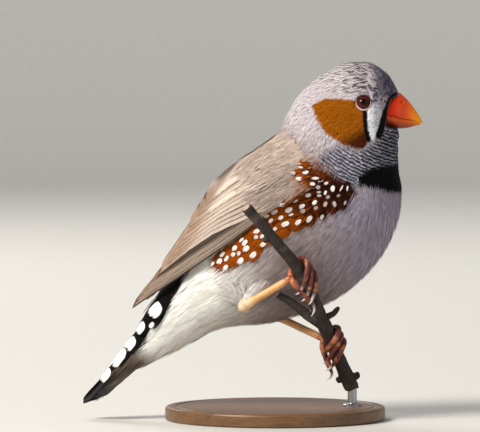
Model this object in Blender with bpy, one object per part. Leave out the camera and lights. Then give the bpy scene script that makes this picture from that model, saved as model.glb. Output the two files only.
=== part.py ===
"""Male zebra finch gripping a cut twig, on a plain display stand. Life size.

The bird faces +X and its right side faces -Y. The origin is the middle of the
underside of the stand's base. Sizes are in millimetres until a mesh is made.
"""

import math

import bmesh
import bpy
import numpy as np
from mathutils import Vector
from mathutils.bvhtree import BVHTree

MM = 0.001
GAP = 0.3  # between pieces that touch
GRIP = 0.48  # from the perch to a toe where the toe bends
VANE = 0.55  # thickness of a feather vane
# Edges shorter than the first of these that leaves the surface closed are taken out after a union
SLIVERS = (0.02, 0.004, 0.002, 0.0)

# Body outline from tail root to bill, one row a station:
# back x, z, belly x, z, half width, and how far the widest level sits above the middle
BODY = (
    (-32.6, 21.0, -31.9, 12.7, 3.2, 0.0),
    (-30.2, 25.5, -24.8, 16.0, 5.0, 0.0),
    (-27.1, 30.4, -18.6, 19.1, 7.0, 0.0),
    (-23.4, 36.3, -11.1, 21.7, 9.0, 0.0),
    (-18.6, 43.0, -2.6, 22.4, 11.0, 0.05),
    (-14.2, 49.6, 5.9, 24.5, 12.6, 0.1),
    (-9.9, 55.9, 14.2, 28.1, 13.5, 0.1),
    (-6.1, 61.4, 21.0, 33.3, 13.8, 0.1),
    (-2.8, 64.4, 26.2, 39.9, 13.6, 0.05),
    (0.0, 67.3, 29.3, 47.4, 12.9, 0.0),
    (1.9, 70.6, 30.0, 54.0, 11.8, 0.0),
    (3.8, 74.3, 29.3, 58.3, 10.6, 0.0),
    (6.6, 77.9, 29.1, 61.4, 9.7, 0.0),
    (11.1, 81.2, 28.8, 63.5, 9.0, -0.05),
    (16.5, 84.0, 28.1, 65.4, 8.4, -0.1),
    (21.9, 84.3, 27.1, 66.8, 7.4, -0.1),
    (26.4, 81.5, 26.8, 67.7, 5.9, -0.05),
    (29.0, 77.6, 27.0, 68.3, 4.2, 0.0),
)
ROUNDNESS = 2.2  # 2 is an ellipse
TAIL_CUT, NECK_CUT, HEAD_CUT, FACE = 1.0, 10.0, 12.0, 17.0  # stations
TORSO_RINGS, NECK_RINGS, HEAD_RINGS, BODY_SIDES = 19, 5, 13, 26
NECK_GAP, HEAD_GAP = 0.08, 0.12  # of a station, about GAP on the tighter side

CHIN = (27.0, 66.35)
CHIN_RADII = (2.7, 4.4, 2.15)

EYE = (20.6, 75.1)  # in side view
EYE_RADIUS, EYE_SHOWS = 2.2, 0.55
LID_RING, LID_THICK, LID_LIFT = 1.95, 0.32, -0.02

# Bill from face to tip: top x, z, bottom x, z, half width
UPPER_BILL = (
    (29.3, 77.1, 28.1, 71.7, 3.35),
    (30.3, 76.3, 28.9, 71.4, 3.15),
    (31.4, 75.2, 30.0, 71.2, 2.6),
    (32.5, 73.8, 31.8, 71.0, 1.95),
    (33.6, 72.3, 33.2, 70.7, 1.25),
    (34.4, 71.0, 34.3, 70.3, 0.6),
    (34.8, 70.2, 34.8, 69.95, 0.15),
)
LOWER_BILL = (
    (28.05, 71.3, 27.5, 68.75, 3.3),
    (28.8, 71.0, 28.4, 68.7, 3.1),
    (30.0, 70.8, 29.7, 68.7, 2.5),
    (31.7, 70.6, 31.5, 68.9, 1.8),
    (33.1, 70.25, 33.0, 69.4, 1.05),
    (34.0, 69.9, 34.0, 69.6, 0.4),
)
NOSTRIL, NOSTRIL_RADIUS = (29.9, 74.9), 0.38

# Folded wing in side view: s runs from the shoulder to the wing tip, h across it
SHOULDER, WING_TIP = (10.1, 55.7), (-33.5, 26.4)
# h of the wing's lower and upper edge at s
WING_LOW = (
    (0, 0.0), (7.2, 1.1), (14.3, 1.6), (21.7, 0.6),
    (31.3, 0.0), (38, 0.4), (44.5, 0.5), (52.6, 0.0),
)
WING_HIGH = (
    (0, 13.6), (6.3, 14.4), (11.8, 14.7), (18.7, 12.0), (26.9, 9.5),
    (34, 7.4), (40.7, 4.6), (45.9, 1.8), (52.6, 0.3),
)
# Distance of those edges from the bird's middle plane at s
DEPTH_LOW = ((0, 13.8), (14.3, 13.6), (31.3, 10.6), (38, 8.2), (44.5, 5.8), (52.6, 3.4))
DEPTH_HIGH = ((0, 2.6), (20, 1.9), (34, 1.5), (46, 2.4), (52.6, 3.2))
WING_CURVE = 0.6  # below 1 the wing's surface turns late, near its upper edge
WING_TURN = 0.94  # the turn stops short of the upper edge, where it would be steep
WING_CLEAR = 0.1  # kept between wing and body beyond GAP
WING_STEP = 1.5  # the surface's normal is measured over this distance
SHINGLE = 0.38  # lift of a vane's lower edge over the feather beneath
SHAFT_RISE = 0.32  # lift of its shaft

# Feather tiers of the wing: count, first and last root (s, h), first and last tip (s, h),
# half width, lifts of its underside and its upper side off the wing's base surface
PRIMARIES = (7, (12, 2.6), (11, 5.6), (52.6, 0.25), (39.5, 4.7), 2.0, 0.15, 0.65)
SECONDARIES = (5, (10.5, 5.4), (10.3, 8.1), (37.6, 5.5), (30.5, 7.9), 2.0, 0.2, 0.95)
TERTIALS = (3, (9.4, 9.5), (9.8, 11.4), (26.9, 9.2), (21.5, 10.7), 2.1, 0.25, 1.25)
GREATER_COVERTS = (8, (5.0, 2.8), (7.5, 11.3), (14.6, 2.4), (15.3, 11.7), 1.35, 0.3, 1.5)
LESSER_COVERTS = (6, (2.0, 2.6), (3.6, 11.3), (8.6, 2.9), (10.2, 11.6), 1.6, 0.35, 1.85)
SCAPULARS = (4, (1.9, 11.0), (6.0, 12.3), (13.8, 11.0), (18.6, 11.4), 1.7, 0.4, 2.0)
# The fleshy wing that the feathers grow from: ends along s, distances from the lower and the
# upper edge, thickness at its rim and what the middle adds to it
HAND = (2.0, 24.0)
HAND_MARGINS = (1.4, 1.2)
HAND_THICK, HAND_BULGE = 0.5, 0.8

# Tail: roots and tips of the middle and the outermost feather, x, y, z
TAIL_FEATHERS = 6  # pairs
MIDDLE_RECTRIX = ((-27.5, 0.5, 22.8), (-45.1, 0.8, 3.4))
OUTER_RECTRIX = ((-27.0, 2.2, 18.3), (-42.3, 3.9, 3.9))
RECTRIX_HALF = 1.8
TAIL_ROOT = (
    (-30.32, 25.1, -25.3, 15.75, 4.9, 0.0),
    (-32.6, 21.0, -31.3, 12.9, 3.6, 0.0),
    (-35.4, 17.0, -34.6, 11.8, 2.4, 0.0),
    (-39.4, 11.6, -38.4, 8.4, 1.7, 0.0),
)
# Pairs, root and tip of the middle and the outermost one, half width
UPPER_TAIL_COVERTS = (
    5, ((-28.9, 0.6, 26.2), (-41.2, 0.8, 9.3)), ((-27.6, 3.0, 23.8), (-32.6, 3.0, 19.6)), 1.7,
)
UNDER_TAIL_COVERTS = (
    3, ((-26.5, 0.6, 16.6), (-37.2, 0.7, 9.6)), ((-27.2, 3.2, 18.4), (-34.0, 2.6, 12.4)), 1.6,
)
# Degrees that the vanes of each set are rolled, from the middle pair to the outermost
RECTRIX_ROLL, UPPER_ROLL, UNDER_ROLL = (8, 48), (12, 55), (-20, -60)
ROLL_STEP = 0.7  # degrees between the left and the right vane of a pair, so that no faces coincide

# Perch: centreline x, y, z and radius, from its upper cut end down
PERCH = (
    (-6.8, -22.5, 51.0, 1.25),
    (-0.5, -19.6, 43.7, 1.3),
    (5.9, -15.8, 35.4, 1.4),
    (10.1, -11.2, 26.0, 1.55),
    (13.7, -6.8, 17.7, 1.6),
    (16.0, -3.4, 12.3, 1.65),
    (18.2, -1.0, 7.5, 1.75),
)
PERCH_SIDES, PERCH_RINGS = 10, 17
# A broken side shoot of the perch, x, y, z and radius
SHOOT = (
    (11.4, -9.9, 22.6, 1.2), (8.0, -11.8, 25.0, 1.15),
    (4.2, -12.6, 28.0, 1.0), (0.6, -12.9, 30.3, 0.8),
)
# Buds and a snag on the perch: place along it, turn in degrees, length, radius
BUDS = ((0.9, 200, 1.0, 0.75), (3.2, 20, 3.4, 0.7), (5.5, 10, 1.3, 0.85), (5.35, 190, 1.0, 0.8))

# Legs: hock, thigh start with its radius, and the place along the perch that the foot grips
RIGHT_LEG = ((-7.3, -12.9, 27.6), (-0.5, -9.0, 34.0), 4.4, 2.0)
LEFT_LEG = ((-1.2, 8.4, 24.6), (5.0, 6.0, 31.0), 4.0, 3.82)
HOCK_RADIUS, SHANK_RADIUS, TOE_RADIUS = 1.15, 0.8, 0.62
KNUCKLE_RADIUS = 0.95
# Toes round the perch: stations of (turn in degrees, height along the perch, lift), then the claw
FORE_TOES = (
    (
        ((0, 0.4, 0), (60, 1.6, 0), (120, 2.4, 0), (180, 1.9, 0.1), (235, 0.2, 0), (275, -1.6, 0)),
        ((300, -2.6, 0.2), (320, -3.3, 0.9), (330, -3.4, 1.6)),
    ),
    (
        ((0, 0.0, 0), (60, 0.2, 0), (120, 0.7, 0), (180, 0.4, 0.1), (230, -1.6, 0), (265, -3.4, 0)),
        ((290, -4.6, 0.2), (308, -5.2, 0.9), (318, -5.3, 1.6)),
    ),
    (
        ((0, -0.4, 0), (60, -1.2, 0), (120, -1.2, 0), (175, -1.6, 0.1), (215, -3.2, 0), (245, -4.6, 0)),
        ((268, -5.6, 0.2), (285, -6.3, 0.9), (295, -6.5, 1.6)),
    ),
)
HIND_TOE = (
    ((0, 0.0, 0), (-28, -1.4, 0.1), (-48, -3.2, 0), (-62, -5.2, 0), (-70, -6.6, 0.1)),
    ((-72, -7.8, 0.5), (-66, -8.8, 1.2), (-56, -9.4, 2.2)),
)
PERCH_STATION = 10.0  # about the distance between two rows of PERCH
CLAW_LIFT, CLAW_RADII = 0.4, (0.45, 0.4, 0.3, 0.12)

BASE_RADIUS, BASE_THICK, BASE_EDGE, BASE_SIDES = 26.0, 3.2, 0.6, 48
ROD_RADIUS, ROD_SIDES = 1.1, 16

# Colours in linear light, with roughness
FINISHES = {
    "plumage_grey": ((0.42, 0.39, 0.39), 0.85),
    "plumage_white": ((0.75, 0.70, 0.64), 0.85),
    "wing_brown": ((0.27, 0.21, 0.17), 0.8),
    "tail_black": ((0.02, 0.018, 0.018), 0.7),
    "bill_orange": ((0.75, 0.11, 0.02), 0.35),
    "eye_red_brown": ((0.05, 0.008, 0.004), 0.08),
    "leg_orange": ((0.72, 0.33, 0.12), 0.5),
    "bark": ((0.05, 0.035, 0.03), 0.9),
    "stand_wood": ((0.16, 0.09, 0.05), 0.5),
    "stand_steel": ((0.5, 0.5, 0.5), 0.3),
}


def smooth(table, place):
    """The table's row at a fractional place, on a Catmull-Rom curve through its rows."""
    rows = np.asarray(table, float)
    last = len(rows) - 1
    place = min(max(place, 0.0), float(last))
    i = min(int(place), last - 1)
    f = place - i
    a, b, c, d = rows[max(i - 1, 0)], rows[i], rows[i + 1], rows[min(i + 2, last)]
    square, cube = 2 * a - 5 * b + 4 * c - d, 3 * b - a - 3 * c + d
    return 0.5 * (2 * b + (c - a) * f + square * f**2 + cube * f**3)


def unit(v):
    return np.asarray(v, float) / np.linalg.norm(v)


def profile(table, s):
    """The value at s of a table of (s, value)."""
    return float(np.interp(s, [row[0] for row in table], [row[1] for row in table]))


def body_ring(table, place, sides, grow=0.0):
    """One cross-section of a body loft: it starts at the back and passes the right side."""
    bx, bz, vx, vz, half_width, rise = smooth(table, place)
    back, belly = np.array([bx, bz]), np.array([vx, vz])
    up = (back - belly) / 2
    half = np.linalg.norm(up)
    ring = []
    for k in range(sides):
        angle = 2 * math.pi * k / sides
        c, s = math.cos(angle), math.sin(angle)
        c2 = math.copysign(abs(c) ** (2 / ROUNDNESS), c)
        s2 = math.copysign(abs(s) ** (2 / ROUNDNESS), s)
        level = (half + grow) * c2 + rise * half * s * s
        x, z = (back + belly) / 2 + up / half * level
        ring.append((x, -(half_width + grow) * s2, z))
    return np.array(ring)


def loft(rings):
    """(points, faces) of a closed solid through rings of equal count, with flat ends."""
    n = len(rings[0])
    points = np.concatenate(rings)
    faces = [tuple(range(n))[::-1]]
    for i in range(len(rings) - 1):
        for k in range(n):
            m = (k + 1) % n
            faces.append((i * n + k, i * n + m, (i + 1) * n + m, (i + 1) * n + k))
    faces.append(tuple((len(rings) - 1) * n + k for k in range(n)))
    return outward(points, faces)


def outward(points, faces):
    """Turns the faces round if they enclose a negative volume."""
    volume = 0.0
    for face in faces:
        a = points[face[0]]
        for i in range(1, len(face) - 1):
            volume += np.dot(a, np.cross(points[face[i]], points[face[i + 1]]))
    return points, (faces if volume > 0 else [f[::-1] for f in faces])


def body_loft(table, start, end, rings, sides, grow=0.0):
    return loft([body_ring(table, p, sides, grow) for p in np.linspace(start, end, rings)])


def ball(centre, radii, rings=8, sides=12, axis=(0, 0, 1)):
    """An ellipsoid whose own z axis is turned to the given axis."""
    turn = Vector((0, 0, 1)).rotation_difference(Vector(axis)).to_matrix()
    made = []
    for i in range(1, rings):
        a = math.pi * i / rings
        ring = []
        for b in np.linspace(0, 2 * math.pi, sides, endpoint=False):
            x, y = math.sin(a) * math.cos(b) * radii[0], math.sin(a) * math.sin(b) * radii[1]
            ring.append(turn @ Vector((x, y, math.cos(a) * radii[2])))
        made.append(np.array(ring) + np.asarray(centre))
    return loft(made)


def tube(path, radii, sides):
    """A round tube through the points of a path, with a radius at each."""
    path = [np.asarray(p, float) for p in path]
    side = None
    rings = []
    for i, p in enumerate(path):
        ahead = unit(path[min(i + 1, len(path) - 1)] - path[max(i - 1, 0)])
        if side is None:
            side = np.cross(ahead, (0.0, 0.0, 1.0) if abs(ahead[2]) < 0.9 else (1.0, 0.0, 0.0))
        side = unit(side - ahead * side.dot(ahead))
        other = np.cross(ahead, side)
        turns = np.linspace(0, 2 * math.pi, sides, endpoint=False)
        ring = [p + radii[i] * (side * math.cos(a) + other * math.sin(a)) for a in turns]
        rings.append(np.array(ring))
    return loft(rings)


def torus(centre, axis, major, minor, around=20, sides=6):
    turn = Vector((0, 0, 1)).rotation_difference(Vector(axis)).to_matrix()
    points, faces = [], []
    for i in range(around):
        a = 2 * math.pi * i / around
        for k in range(sides):
            b = 2 * math.pi * k / sides
            r = major + minor * math.cos(b)
            point = Vector((r * math.cos(a), r * math.sin(a), minor * math.sin(b)))
            points.append(np.array(turn @ point))
            i2, k2 = (i + 1) % around, (k + 1) % sides
            faces.append((i * sides + k, i2 * sides + k, i2 * sides + k2, i * sides + k2))
    return outward(np.array(points) + np.asarray(centre), faces)


def vane(path, across, normal, half_widths):
    """A feather's flat vane: a thin six-sided strip, thickest on its shaft."""
    edge, shaft = normal * VANE * 0.4, normal * VANE * 0.6
    rings = []
    for p, w in zip(path, half_widths):
        left, right = p + across * w, p - across * w
        outer = [left + edge, p + shaft, right + edge]
        rings.append(np.array([*outer, right - edge, p - edge, left - edge]))
    return loft(rings)


def vane_shape(f):
    """Half width of a vane along its length, from root to rounded tip, as a share of its widest."""
    root = 0.55 + 0.45 * min(f / 0.3, 1.0)
    return root * math.sqrt(max(1.0 - max((f - 0.72) / 0.285, 0.0) ** 2.4, 0.0))


def finish(name):
    colour, roughness = FINISHES[name]
    made = bpy.data.materials.get(name) or bpy.data.materials.new(name)
    made.use_nodes = True
    shader = made.node_tree.nodes["Principled BSDF"]
    shader.inputs["Base Color"].default_value = (*colour, 1.0)
    shader.inputs["Roughness"].default_value = roughness
    shader.inputs["Metallic"].default_value = 1.0 if name == "stand_steel" else 0.0
    return made


def mesh_object(name, shape, material=None):
    points, faces = shape
    mesh = bpy.data.meshes.new(name)
    corners = [tuple(p * MM) for p in np.asarray(points, float)]
    mesh.from_pydata(corners, [], [tuple(map(int, f)) for f in faces])
    mesh.update()
    made = bpy.data.objects.new(name, mesh)
    bpy.context.scene.collection.objects.link(made)
    if material:
        mesh.materials.append(finish(material))
    return made


def keep_largest(mesh):
    """Clears the slivers that a Boolean leaves, and all but the largest closed surface."""
    for size in SLIVERS:
        work = bmesh.new()
        work.from_mesh(mesh)
        bmesh.ops.triangulate(work, faces=work.faces)
        bmesh.ops.dissolve_degenerate(work, dist=size * MM, edges=work.edges)
        if all(len(edge.link_faces) == 2 for edge in work.edges):
            break
        work.free()
    unseen, pieces = set(work.verts), []
    while unseen:
        stack, piece = [unseen.pop()], []
        while stack:
            vert = stack.pop()
            piece.append(vert)
            for edge in vert.link_edges:
                other = edge.other_vert(vert)
                if other in unseen:
                    unseen.remove(other)
                    stack.append(other)
        pieces.append(piece)
    pieces.sort(key=len, reverse=True)
    bmesh.ops.delete(work, geom=[v for piece in pieces[1:] for v in piece], context="VERTS")
    work.to_mesh(mesh)
    work.free()


def combine(name, first, joined, cut, material, solver="EXACT"):
    """One closed node: the first shape, with others fused to it and others taken away."""
    target = mesh_object(name + "_first", first)
    tools = []
    for operation, shapes in (("UNION", joined), ("DIFFERENCE", cut)):
        if not shapes:
            continue
        group = bpy.data.collections.new(name + "_" + operation.lower())
        for i, shape in enumerate(shapes):
            tool = mesh_object(f"{name}_tool_{len(tools)}", shape)
            bpy.context.scene.collection.objects.unlink(tool)
            group.objects.link(tool)
            tools.append(tool)
        change = target.modifiers.new(operation.title(), "BOOLEAN")
        change.operation, change.operand_type = operation, "COLLECTION"
        change.collection, change.solver = group, solver
    bpy.context.view_layer.update()
    graph = bpy.context.evaluated_depsgraph_get()
    mesh = bpy.data.meshes.new_from_object(target.evaluated_get(graph))
    for thing in (target, *tools):
        bpy.data.objects.remove(thing)
    keep_largest(mesh)
    mesh.name = name
    mesh.materials.clear()
    mesh.materials.append(finish(material))
    made = bpy.data.objects.new(name, mesh)
    bpy.context.scene.collection.objects.link(made)
    return made


def shade(made, degrees=40):
    made.data.shade_smooth()
    made.data.set_sharp_from_angle(angle=math.radians(degrees))


def tree_of(*shapes):
    points, faces = [], []
    for these, those in shapes:
        faces += [tuple(i + len(points) for i in f) for f in those]
        points += [tuple(p) for p in these]
    return BVHTree.FromPolygons(points, faces)


def clear_of(tree, point, gap):
    """The point, moved out along the nearest surface's normal until it clears it by the gap."""
    place, normal, _, _ = tree.find_nearest(Vector(point))
    short = gap - (Vector(point) - place).dot(normal)
    return np.array(Vector(point) + normal * max(short, 0.0))


def side_hit(tree, x, z):
    """Where a line from the right meets the surface at x, z in side view, with its normal."""
    place, normal, _, _ = tree.ray_cast(Vector((x, -60, z)), Vector((0, 1, 0)))
    return np.array(place), np.array(normal)


WING_ALONG = unit(np.subtract(WING_TIP, SHOULDER))
WING_ACROSS = np.array([WING_ALONG[1], -WING_ALONG[0]])


def wing_point(tree, s, h, lift=0.0):
    """A point of the right wing's base surface, lifted along the surface's normal."""

    def on_surface(s, h):
        low, high = profile(WING_LOW, s), profile(WING_HIGH, s)
        f = min(max((h - low) / max(high - low, GAP), 0.0), WING_TURN)
        near, far = profile(DEPTH_HIGH, s), profile(DEPTH_LOW, s)
        depth = near + (far - near) * math.cos(f * math.pi / 2) ** WING_CURVE
        x, z = np.asarray(SHOULDER) + WING_ALONG * s + WING_ACROSS * h
        return clear_of(tree, (x, -depth, z), GAP + WING_CLEAR)

    along = on_surface(s + WING_STEP, h) - on_surface(s - WING_STEP, h)
    across = on_surface(s, h + WING_STEP) - on_surface(s, h - WING_STEP)
    normal = unit(np.cross(along, across))
    if normal[1] > 0:
        normal = -normal
    return on_surface(s, h) + normal * lift, normal


def wing_vane(tree, root, tip, half_width, under, over, stations):
    """A vane on the wing, its lower edge raised over the feather below it."""
    root, tip = np.asarray(root, float), np.asarray(tip, float)
    along = unit(tip - root)
    side = np.array([-along[1], along[0]])
    rings = []
    for f in np.linspace(0, 1, stations):
        centre = root + (tip - root) * f
        w = max(half_width * vane_shape(f), 0.12)
        outer, inner = [], []
        for offset, rise in ((-w, SHINGLE), (0.0, SHAFT_RISE), (w, 0.0)):
            base, normal = wing_point(tree, *(centre + side * offset))
            outer.append(base + normal * (over + rise))
            inner.append(base + normal * under)
        rings.append(np.array(outer + inner[::-1]))
    return loft(rings)


def tier(tree, feathers, stations):
    """The vanes of one tier of the wing, from the lowest up."""
    count, root_a, root_b, tip_a, tip_b, half_width, under, over = feathers
    made = []
    for i in range(count):
        f = i / (count - 1)
        root = np.add(np.multiply(root_a, 1 - f), np.multiply(root_b, f))
        tip = np.add(np.multiply(tip_a, 1 - f), np.multiply(tip_b, f))
        made.append(wing_vane(tree, root, tip, half_width, under, over + 0.05 * (i % 2), stations))
    return made


def wing_hand(tree):
    """The fleshy wing under the coverts: a plate on the flank that thins to its edges."""
    start, end = HAND
    rings = []
    for s in np.linspace(start, end, 8):
        taper = math.sin(math.pi * (0.05 + 0.9 * (s - start) / (end - start))) ** 0.5
        low, high = profile(WING_LOW, s) + HAND_MARGINS[0], profile(WING_HIGH, s) - HAND_MARGINS[1]
        outer, inner = [], []
        for f in np.linspace(0, 1, 6):
            h = low + (high - low) * f
            bulge = HAND_THICK + HAND_BULGE * taper * math.sin(math.pi * (0.1 + 0.8 * f))
            outer.append(wing_point(tree, s, h, bulge)[0])
            inner.append(wing_point(tree, s, h, HAND_THICK / 10)[0])
        rings.append(np.array(outer + inner[::-1]))
    return loft(rings)


def wing(tree):
    shapes = tier(tree, PRIMARIES, 6) + tier(tree, SECONDARIES, 5) + tier(tree, TERTIALS, 5)
    for feathers in (GREATER_COVERTS, LESSER_COVERTS, SCAPULARS):
        shapes += tier(tree, feathers, 4)
    right = combine("wing_right", wing_hand(tree), shapes, [], "wing_brown", "MANIFOLD")
    shade(right, 30)
    left = bpy.data.objects.new("wing_left", right.data.copy())
    left.data.name = "wing_left"
    for vert in left.data.vertices:
        vert.co.y = -vert.co.y
    left.data.flip_normals()
    bpy.context.scene.collection.objects.link(left)


def straight_vane(root, tip, half_width, slope, lift_along, side):
    """A vane along a straight line, rolled down towards its own side by slope degrees."""
    root, tip = np.array(root, float), np.array(tip, float)
    root[1] *= side
    tip[1] *= side
    ahead = unit(tip - root)
    up = unit(np.cross(ahead, (0, 1, 0)))
    if up[2] < 0:
        up = -up
    roll = math.radians(slope) * side
    across = unit(np.array([0, 1, 0]) * math.cos(roll) - up * math.sin(roll))
    across = unit(across - ahead * across.dot(ahead))
    normal = np.cross(ahead, across)
    if normal.dot(up) < 0:
        normal = -normal
    places = (0, 0.3, 0.72, 0.9, 1)
    path = [root + (tip - root) * f + normal * lift_along * math.sin(math.pi * f) for f in places]
    widths = [max(half_width * vane_shape(f), 0.15) for f in places]
    return vane(path, across, normal, widths)


def fan(rows, rolls, lift_along):
    """Pairs of vanes between a first and a last one, on both sides."""
    count, first, last, half_width = rows
    made = []
    for i in range(count):
        f = i / (count - 1)
        root = np.add(np.multiply(first[0], 1 - f), np.multiply(last[0], f))
        tip = np.add(np.multiply(first[1], 1 - f), np.multiply(last[1], f))
        slope = rolls[0] + (rolls[1] - rolls[0]) * f
        for side in (1, -1):
            turned = slope + side * ROLL_STEP
            made.append(straight_vane(root, tip, half_width, turned, lift_along, side))
    return made


def tail():
    root = body_loft(TAIL_ROOT, 0, len(TAIL_ROOT) - 1, 7, 14)
    room = body_loft(BODY, TAIL_CUT - 0.06, FACE, 35, 26, GAP)
    rectrices = (TAIL_FEATHERS, MIDDLE_RECTRIX, OUTER_RECTRIX, RECTRIX_HALF)
    shapes = fan(rectrices, RECTRIX_ROLL, 0.0)
    shapes += fan(UPPER_TAIL_COVERTS, UPPER_ROLL, 0.35)
    shapes += fan(UNDER_TAIL_COVERTS, UNDER_ROLL, -0.3)
    shade(combine("tail", root, shapes, [room], "tail_black", "MANIFOLD"), 30)


def head(tree):
    centre, normal = side_hit(tree, *EYE)
    loft_shape = body_loft(BODY, HEAD_CUT + HEAD_GAP / 2, FACE, HEAD_RINGS, BODY_SIDES)
    chin = ball((CHIN[0], 0, CHIN[1]), CHIN_RADII, 6, 12)
    rings, sockets = [], []
    for side in (1, -1):
        flip = np.array([1, side, 1])
        middle = (centre - normal * (EYE_RADIUS - EYE_SHOWS)) * flip
        rings.append(torus((centre + normal * LID_LIFT) * flip, normal * flip, LID_RING, LID_THICK))
        sockets.append(ball(middle, [EYE_RADIUS + GAP] * 3, 10, 16, normal * flip))
        name = "eye_right" if side == 1 else "eye_left"
        eyeball = ball(middle, [EYE_RADIUS] * 3, 10, 16, normal * flip)
        shade(mesh_object(name, eyeball, "eye_red_brown"), 60)
    shade(combine("head", loft_shape, [chin, *rings], sockets, "plumage_grey"), 50)


def upper_bill():
    """Arched above, with a flat cutting edge below, and a nostril pit on each side of its base."""
    rings = []
    for place in np.linspace(0, len(UPPER_BILL) - 1, 11):
        tx, tz, bx, bz, w = smooth(UPPER_BILL, place)
        top, bottom = np.array([tx, 0, tz]), np.array([bx, 0, bz])
        ring = []
        for a in np.linspace(0, math.pi, 11):
            across = np.array([0, w * math.cos(a), 0])
            ring.append(bottom + (top - bottom) * math.sin(a) ** 0.85 - across)
        rings.append(np.array(ring))
    pits = []
    x, z = NOSTRIL
    for side in (1, -1):
        pit = [(x, side * 1.2, z), (x - 0.3, side * 4.0, z + 0.5)]
        pits.append(tube(pit, [NOSTRIL_RADIUS] * 2, 8))
    shade(combine("bill_upper", loft(rings), [], pits, "bill_orange"), 50)


def lower_bill():
    rings = []
    for place in np.linspace(0, len(LOWER_BILL) - 1, 9):
        tx, tz, bx, bz, w = smooth(LOWER_BILL, place)
        top, bottom = np.array([tx, 0, tz]), np.array([bx, 0, bz])
        ring = []
        for a in np.linspace(0, math.pi, 9):
            across = np.array([0, w * math.cos(a), 0])
            ring.append(top + (bottom - top) * math.sin(a) ** 0.8 + across)
        rings.append(np.array(ring))
    shade(mesh_object("bill_lower", loft(rings), "bill_orange"), 50)


def perch_frame(place):
    """The perch's centre, radius and upward direction at a place along it."""
    row = smooth(PERCH, place)
    up = unit(smooth(PERCH, place - 0.1)[:3] - smooth(PERCH, place + 0.1)[:3])
    return row[:3], row[3], up


def perch():
    rows = [smooth(PERCH, p) for p in np.linspace(0, len(PERCH) - 1, PERCH_RINGS)]
    path, radii = [row[:3] for row in rows], [row[3] for row in rows]
    shape = tube(path, radii, PERCH_SIDES)
    foot = len(shape[0]) - PERCH_SIDES
    shape[0][foot:, 2] = PERCH[-1][2]  # the lower end is cut level, to stand on the rod
    buds = []
    for place, turn, length, radius in BUDS:
        centre, thick, up = perch_frame(place)
        side = unit(np.array([1.0, 0, 0]) - up * up[0])
        other = np.cross(up, side)
        out = side * math.cos(math.radians(turn)) + other * math.sin(math.radians(turn))
        start, end = centre + out * thick * 0.3, centre + out * (thick + length) + up * 0.2 * length
        middle = centre + out * (thick + length * 0.3)
        buds.append(tube([start, middle, end], [radius, radius, radius * 0.55], 7))
    buds.append(tube([row[:3] for row in SHOOT], [row[3] for row in SHOOT], 8))
    shade(combine("perch", shape, buds, [], "bark"), 60)


def toe_point(foot, radius, station, thick):
    centre, up, palm, side = foot
    turn, height, lift = station
    a = math.radians(turn)
    out = palm * math.cos(a) + side * math.sin(a)
    return centre + up * height + out * (radius + GRIP + thick + lift)


def leg(name, hock, thigh, thigh_radius, place, cutter):
    centre, radius, up = perch_frame(place)
    hock = np.asarray(hock, float)
    palm = unit((hock - centre) - up * up.dot(hock - centre))
    side = -np.cross(up, palm)
    knuckle = centre + palm * (radius + GAP + KNUCKLE_RADIUS)
    shank = [hock, hock + (knuckle - hock) * 0.12, hock + (knuckle - hock) * 0.5, knuckle]
    foot = (centre, up, palm, side)
    shapes = [ball(hock, [HOCK_RADIUS] * 3, 6, 8), ball(knuckle, [KNUCKLE_RADIUS] * 3, 6, 8)]
    for toe, claw in (*FORE_TOES, HIND_TOE):
        path = []
        for station in toe:
            local = perch_frame(place - station[1] / PERCH_STATION)[1]
            path.append(toe_point(foot, local, station, TOE_RADIUS))
        tip = [toe_point(foot, radius, station, CLAW_LIFT) for station in claw]
        shapes.append(tube(path, [TOE_RADIUS] * len(path), 6))
        shapes.append(tube([path[-1] * 0.6 + path[-2] * 0.4, *tip], CLAW_RADII, 5))
    shank_tube = tube(shank, [SHANK_RADIUS] * 4, 8)
    shade(combine("leg_" + name, shank_tube, shapes, [], "leg_orange"), 60)
    start = np.asarray(thigh, float)
    down = unit(hock - start)
    end = hock - down * HOCK_RADIUS * 0.8
    path = [start, start + (end - start) * 0.5, end]
    cone = tube(path, [thigh_radius, thigh_radius * 0.72, HOCK_RADIUS], 12)
    shank_room = tube(shank, [SHANK_RADIUS + GAP] * 4, 12)
    hock_room = ball(hock, [HOCK_RADIUS + GAP] * 3, 8, 12)
    room = [cutter, shank_room, hock_room]
    shade(combine("thigh_" + name, cone, [], room, "plumage_white"), 50)


def stand():
    profile_points = (
        (BASE_RADIUS, 0.0),
        (BASE_RADIUS, BASE_THICK - BASE_EDGE),
        (BASE_RADIUS - BASE_EDGE, BASE_THICK),
    )
    turns = np.linspace(0, 2 * math.pi, BASE_SIDES, endpoint=False)
    rings = []
    for r, z in profile_points:
        rings.append(np.array([(r * math.cos(a), r * math.sin(a), z) for a in turns]))
    shade(mesh_object("stand_base", loft(rings), "stand_wood"), 30)
    x, y, z, _ = PERCH[-1]
    rod = tube([(x, y, BASE_THICK + GAP), (x, y, z - GAP)], [ROD_RADIUS] * 2, ROD_SIDES)
    shade(mesh_object("stand_rod", rod, "stand_steel"), 30)


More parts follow.
